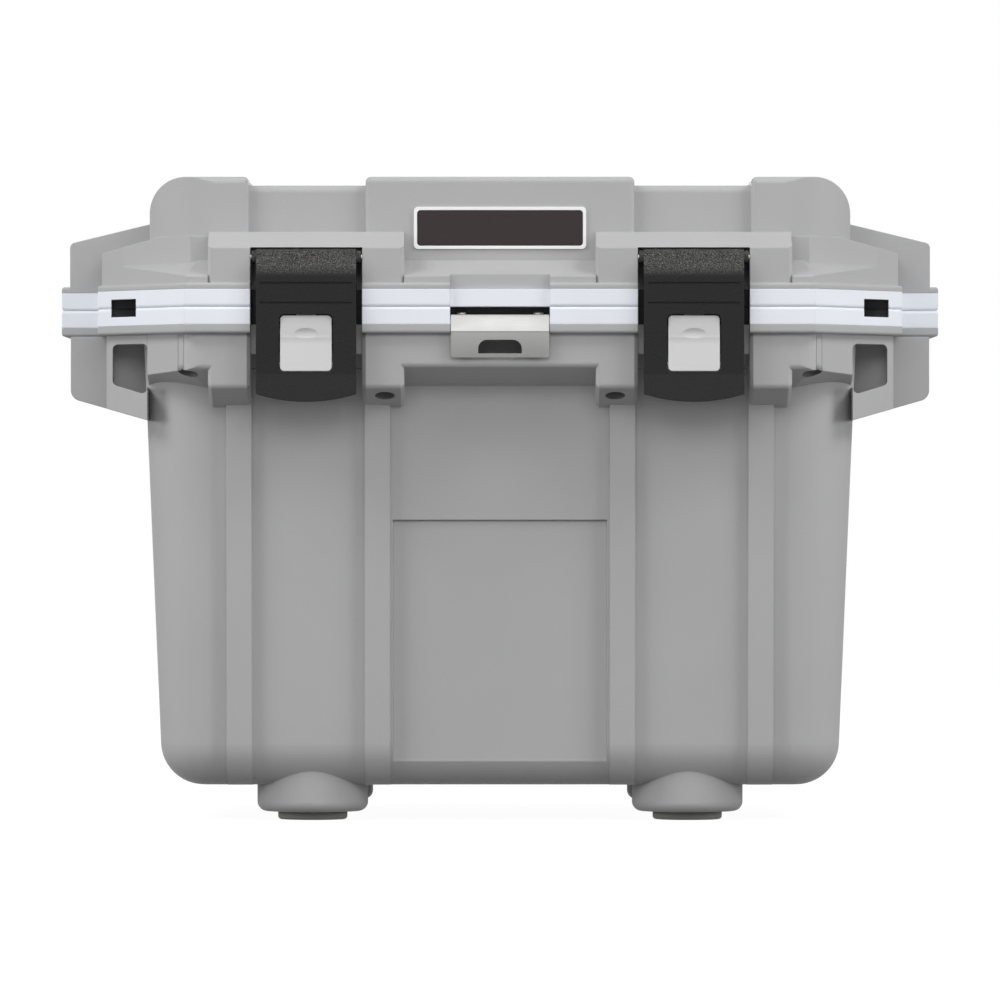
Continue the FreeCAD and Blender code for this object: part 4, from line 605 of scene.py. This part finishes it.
# %% A turned surface
def turned(radii, heights, centre, around):
    """Points of a surface of revolution: centre + (r cos t, r sin t, h), t once round."""
    turn = np.linspace(0.0, 2.0 * math.pi, around, endpoint=False)
    radii, heights = np.broadcast_arrays(np.asarray(radii, float), np.asarray(heights, float))
    if radii.ndim == 1:
        radii, heights = radii[:, None], heights[:, None]
    x = centre[0] + radii * np.cos(turn)
    y = centre[1] + radii * np.sin(turn)
    return np.stack([x, y, np.broadcast_to(centre[2] + heights, x.shape)], -1)


def arc(middle, radius, start, end, count=7):
    """A quarter of a circle or less, as radii and heights: middle + radius (cos t, sin t)."""
    turn = np.radians(np.linspace(start, end, count))
    return middle[0] + radius * np.cos(turn), middle[1] + radius * np.sin(turn)


print("a turned grid:", turned([0.0, 1.0], [0.0, 0.0], (0.0, 0.0, 0.0), 8).shape)

# %% [markdown]
# ## Rubber feet
#
# Each foot is a round pad of soft rubber with a rolled lower edge. Its sole has fine circular
# ridges so that the chest doesn't slide on a wet deck, and a counterbore takes the screw head,
# so that the steel never touches the deck. The ridges are real waves in the profile, which show
# when the chest is tipped.

# %% Four feet
FOOT_RADIUS = 25.2 * MM
FOOT_ROLL = 2.4 * MM
FOOT_SIDES = 96
RIDGE_PITCH = 2.6 * MM
RIDGE_DEPTH = 0.5 * MM
HEAD_ROOM = 4.0 * MM
SHANK_ROOM = 2.2 * MM


def foot_profile(height):
    """Radii and heights round the section of a foot, from the bore, over the sole and back.

    The sole's ridges are RIDGE_DEPTH times half of one minus the cosine of 2 pi r / pitch.
    """
    sole = np.linspace(HEAD_ROOM + 1.0 * MM, FOOT_RADIUS - FOOT_ROLL, 81)
    phase = 2.0 * math.pi * (sole - sole[0]) / RIDGE_PITCH
    ridges = RIDGE_DEPTH * 0.5 * (1.0 - np.cos(phase))
    roll = arc((FOOT_RADIUS - FOOT_ROLL, FOOT_ROLL), FOOT_ROLL, -90.0, 0.0)
    radii = np.concatenate([
        [SHANK_ROOM, HEAD_ROOM, HEAD_ROOM], sole, roll[0][1:],
        [FOOT_RADIUS, FOOT_RADIUS - 0.4 * MM, FOOT_RADIUS - 1.2 * MM, SHANK_ROOM]])
    heights = np.concatenate([
        [height * 0.5, height * 0.5, 0.6 * MM], ridges, roll[1][1:],
        [height - 1.2 * MM, height - 0.4 * MM, height, height]])
    return radii, heights


feet = []
for row in ("front", "rear"):
    for side in ("left", "right"):
        pad = f"foot_pad_{row}_{side}"
        low, high = (np.array(corner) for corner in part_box(pad))
        middle = (low + high) / 2
        centre = (middle[0], middle[1], low[2])
        points = turned(*foot_profile(high[2] - low[2]), centre, FOOT_SIDES)
        foot = grid_mesh(f"ridged_foot_{row}_{side}", points, foot_rubber, "rubber", "tub",
                         close_u=True, close_v=True)
        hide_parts(pad)
        feet.append(foot)
print("feet:", [foot.name for foot in feet])

# %% [markdown]
# ## Screws
#
# A stainless pan-head screw has a low domed head with a crossed slot for the driver. Here the
# head is a turned dome whose heights are then lowered by the cross: near either of two lines
# through the middle the depth is full, and it fades out towards the rim of the head.

# %% A screw with a crossed slot
HEAD_RADIUS = 3.7 * MM
HEAD_HEIGHT = 2.1 * MM
SHANK_RADIUS = 1.9 * MM
THREAD_STEP = 0.45 * MM
THREAD_DEPTH = 0.22 * MM
TIP_RADIUS = 0.3 * MM
SLOT_HALF_WIDTH = 0.55 * MM
SLOT_REACH = 2.5 * MM
SLOT_DEPTH = 1.1 * MM
SCREW_SIDES = 72


def screw_points(centre, length, sign):
    """A screw from the middle of its head to its tip, along sign times z.

    Head: height times (0.7 + 0.3 times the square root of 1 - (r / R)^2), less the cross.
    """
    inner = np.linspace(0.02, 1.0, 34) * HEAD_RADIUS
    dome = HEAD_HEIGHT * (0.7 + 0.3 * np.sqrt(np.clip(1.0 - (inner / HEAD_RADIUS) ** 2, 0.0, 1.0)))
    turn = np.linspace(0.0, 2.0 * math.pi, SCREW_SIDES, endpoint=False)
    near = np.minimum(np.abs(inner[:, None] * np.cos(turn)), np.abs(inner[:, None] * np.sin(turn)))
    cross = np.clip((SLOT_HALF_WIDTH * 1.25 - near) / (SLOT_HALF_WIDTH * 0.5), 0.0, 1.0)
    reach = np.clip((SLOT_REACH - inner[:, None]) / (0.8 * MM), 0.0, 1.0)
    head = dome[:, None] - SLOT_DEPTH * cross * reach
    shank = np.linspace(0.0, length, int(length / THREAD_STEP) * 2)
    thread = SHANK_RADIUS - THREAD_DEPTH * (np.arange(len(shank)) % 2)
    stem_radii = np.concatenate([[HEAD_RADIUS, SHANK_RADIUS], thread, [TIP_RADIUS]])[:, None]
    stem_heights = np.concatenate([[0.0, 0.0], -shank, [-length]])[:, None]
    stem = (len(stem_radii), SCREW_SIDES)
    radii = np.concatenate([np.broadcast_to(inner[:, None], head.shape),
                            np.broadcast_to(stem_radii, stem)])
    heights = np.concatenate([head, np.broadcast_to(stem_heights, stem)])
    return turned(radii, sign * heights, centre, SCREW_SIDES)


print("a screw's grid:", screw_points((0.0, 0.0, 0.0), 10.0 * MM, 1.0).shape)

# %% [markdown]
# ## Where the screws go
#
# Two screws hold the opener's flange, heads up, and one holds each rubber foot, heads down. The
# box of each drawn set says where its outermost heads reach, so their axes lie one head's
# radius further in, and the head's seat one head's height below the top of the box.

# %% Two sets of screws
DRAWN_HEAD_RADIUS = 3.8 * MM
DRAWN_HEAD_HEIGHT = 2.2 * MM
HEAD_AND_GAP = 2.3 * MM


def screw_set(name, node, centres, sign, seat, length):
    """Screws in place of one drawn node, which is then hidden."""
    parts = [grid_mesh(f"{name}_{n}", screw_points((*centre, seat), length, sign), steel, "steel",
                       "tub", close_v=True, caps=True) for n, centre in enumerate(centres)]
    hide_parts(node)
    return parts


low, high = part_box("opener_screws")
opener_x, opener_y = high[0] - DRAWN_HEAD_RADIUS, (low[1] + high[1]) / 2
opener_set = screw_set("opener_screw", "opener_screws",
                       [(-opener_x, opener_y), (opener_x, opener_y)],
                       1.0, high[2] - DRAWN_HEAD_HEIGHT, high[2] - low[2] - HEAD_AND_GAP)
low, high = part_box("foot_screws")
foot_x, foot_y = high[0] - DRAWN_HEAD_RADIUS, high[1] - DRAWN_HEAD_RADIUS
foot_set = screw_set("foot_screw", "foot_screws",
                     [(i * foot_x, j * foot_y) for i in (-1, 1) for j in (-1, 1)],
                     -1.0, low[2] + DRAWN_HEAD_HEIGHT, high[2] - low[2] - HEAD_AND_GAP)
print("screws:", [screw.name for screw in opener_set + foot_set])

# %% [markdown]
# ## Webs at the corners
#
# At each corner of the rim the outer tie-down hole runs so close to the slanted wall that it
# breaks through. A thin web of plastic closes each break. In plan a web follows the wall, which
# runs straight and then bends towards the front, and it stands a hair behind it. Its lower edge
# follows the sloping underside of the rim. One web is worked out and mirrored to four corners.

# %% Corner webs
WALL_X = np.array([232.0, 231.2, 229.6, 228.0, 227.2, 226.4, 225.6]) * MM
WALL_Y = np.array([206.3, 207.4, 209.5, 211.7, 212.8, 213.7, 214.5]) * MM
WEB_SETBACK = 0.02 * MM
WEB_BACK = 1.4 * MM
WEB_TOP = 350.8 * MM
UNDERSIDE_HEIGHT, UNDERSIDE_SLOPE, UNDERSIDE_START = 318.1 * MM, 0.2655, 184.5 * MM


def web_points(side, end, levels=6):
    """Points of a web: a closed ring in plan at each level.

    Outer line: the wall's y over x, less the setback. Inner line: the wall's y less WEB_BACK.
    Lower edge: the underside's height plus its slope times (y - where it starts).
    """
    x = np.concatenate([WALL_X, WALL_X[::-1]])
    y = np.concatenate([WALL_Y - WEB_SETBACK, WALL_Y[::-1] - WEB_BACK])
    foot = UNDERSIDE_HEIGHT + UNDERSIDE_SLOPE * (y - UNDERSIDE_START)
    z = foot + np.linspace(0.0, 1.0, levels)[:, None] * (WEB_TOP - foot)
    return np.stack([np.broadcast_to(side * x, z.shape), np.broadcast_to(end * y, z.shape), z], -1)


web_plastic = moulded("grey web plastic", *GREY_SKIN)
webs = [grid_mesh(f"corner_web_{row}_{hand}", web_points(side, end), web_plastic, "grey_plastic",
                  "tub", close_v=True, caps=True)
        for row, end in (("front", -1), ("rear", 1)) for hand, side in (("left", -1), ("right", 1))]
print("corner webs:", [web.name for web in webs])

# %% [markdown]
# ## The studio's floor
#
# The chest stands on a white sweep under soft light. To a camera the sweep should be white, but
# white walls all round would throw so much light under the chest that its shadows would vanish.
# The Light Path node solves this: rays from the camera, and rays seen in metal, find mostly a
# white glow, and every other ray finds a dark grey floor. Under the glow a share of matt
# floor is left, which darkens under the chest.

# %% Floor
HALF_FLOOR = 4.5
FLOOR_DROP = 0.4 * MM
steps = np.linspace(-HALF_FLOOR, HALF_FLOOR, 9)
floor_x, floor_y = np.meshgrid(steps, steps, indexing="ij")
floor_points = np.stack([floor_x, floor_y, np.zeros_like(floor_x) - FLOOR_DROP], -1)[:, ::-1]

floor_paint = bpy.data.materials.new("white sweep")
floor_paint.use_nodes = True
floor_paint.node_tree.nodes.clear()
sweep = Wiring(floor_paint.node_tree)
path = sweep.add("ShaderNodeLightPath")
seen = sweep.maths("MAXIMUM", path.outputs["Is Camera Ray"], path.outputs["Is Glossy Ray"])
matt = sweep.add("ShaderNodeBsdfDiffuse")
sweep.join(sweep.remap(path.outputs["Is Camera Ray"], 0.0, 1.0, 0.18, 0.6), matt, "Color")
glow = sweep.add("ShaderNodeEmission")
glow.inputs["Strength"].default_value = 1.12
mixed = sweep.add("ShaderNodeMixShader")
out = sweep.add("ShaderNodeOutputMaterial")
sweep.join(sweep.maths("MULTIPLY", seen, 0.86), mixed, 0)
sweep.join(matt.outputs[0], mixed, 1)
sweep.join(glow.outputs[0], mixed, 2)
sweep.join(mixed.outputs[0], out, "Surface")
floor = grid_mesh("floor", floor_points, floor_paint, None, None)
print("floor:", 2 * HALF_FLOOR, "m wide")

# %% [markdown]
# ## Sky
#
# The sky around gives an even, shadowless fill, which leaves undersides and gaps darker because
# less of it reaches them. To the camera it is white, like the sweep. Metal shows what stands
# around it, so rays that metal sends out find a paler sky than the one that lights the plastic.

# %% Sky
FILL_LIGHT = 0.32
SKY_IN_METAL = 0.75

world = bpy.data.worlds.new("studio air")
bpy.context.scene.world = world
world.use_nodes = True
air = Wiring(world.node_tree)
background = air.tree.nodes["Background"]
background.inputs["Color"].default_value = (1.0, 1.0, 1.0, 1.0)
ray = air.add("ShaderNodeLightPath").outputs
seen = air.maths("MAXIMUM", ray["Is Camera Ray"], ray["Is Transmission Ray"])
sky_light = air.remap(seen, 0.0, 1.0, FILL_LIGHT, 1.0)
sky_metal = air.remap(ray["Is Glossy Ray"], 0.0, 1.0, 0.0, SKY_IN_METAL)
air.join(air.maths("MAXIMUM", sky_light, sky_metal), background, "Strength")
print("sky: fill", FILL_LIGHT, "in metal", SKY_IN_METAL)

# %% [markdown]
# ## Lamps
#
# Large lamps give soft edges to the shadows. One stands in front and a little above the lens,
# one behind, and three on each side: low beside the chest, high over its shoulder, and at its
# end. Their powers were balanced so that walls, slopes and undersides keep their own tones and
# no face that looks up turns plain white.

# %% Lamps
CHEST_MIDDLE = (0.0, 0.0, 0.25)
LAMP_DISTANCE = 4.2


def studio_lamp(name, azimuth, elevation, width, height, power):
    """A lamp on a sphere round the chest: azimuth from the front, elevation from the floor.

    Place: middle + distance (cos e sin a, -cos e cos a, sin e). A lamp shines down its own -z
    axis, so a tilt of 90 degrees - e and a turn of a make it look at the middle.
    """
    around, up = math.radians(azimuth), math.radians(elevation)
    spot = (math.cos(up) * math.sin(around), -math.cos(up) * math.cos(around), math.sin(up))
    data = bpy.data.lights.new(name, "AREA")
    data.shape = "RECTANGLE"
    data.size, data.size_y, data.energy = width, height, power
    lamp = bpy.data.objects.new(name, data)
    bpy.context.scene.collection.objects.link(lamp)
    lamp.location = [m + LAMP_DISTANCE * s for m, s in zip(CHEST_MIDDLE, spot)]
    lamp.rotation_euler = (math.pi / 2 - up, 0.0, around)
    return lamp


lamps = [
    studio_lamp("front key", 0.0, 25.0, 3.0, 1.4, 50.0),
    studio_lamp("rear", 180.0, 10.0, 3.0, 1.4, 70.0),
]
for side, turn in (("left", -1.0), ("right", 1.0)):
    lamps.append(studio_lamp(side + " shoulder", turn * 60.0, 45.0, 1.6, 1.4, 56.0))
    lamps.append(studio_lamp(side + " side", turn * 65.0, 8.0, 1.6, 1.4, 42.0))
    lamps.append(studio_lamp(side + " end", turn * 80.0, 40.0, 1.6, 1.4, 14.0))
print("lamps:", [lamp.name for lamp in lamps])

# %% [markdown]
# ## Camera
#
# A long lens from far in front keeps the chest's sides nearly parallel, as in a catalogue. The
# camera stands at half the chest's height and looks straight back, so uprights stay upright.
# The focal length sets how much of the frame the chest fills: about nine tenths of its width.

# %% Camera
CAMERA_DISTANCE = 6.325
CAMERA_HEIGHT = 0.2317
FOCAL_LENGTH = 307.3
lens_data = bpy.data.cameras.new("catalogue camera")
lens_data.sensor_width = 36.0
lens_data.lens = FOCAL_LENGTH
lens_data.clip_end = 100.0
camera = bpy.data.objects.new("catalogue camera", lens_data)
bpy.context.scene.collection.objects.link(camera)
camera.location = (0.0, -CAMERA_DISTANCE, CAMERA_HEIGHT)
camera.rotation_euler = (math.pi / 2, 0.0, 0.0)
bpy.context.scene.camera = camera
bpy.context.scene.view_settings.view_transform = "Standard"
print("camera:", CAMERA_DISTANCE, "m away, lens", FOCAL_LENGTH, "mm")
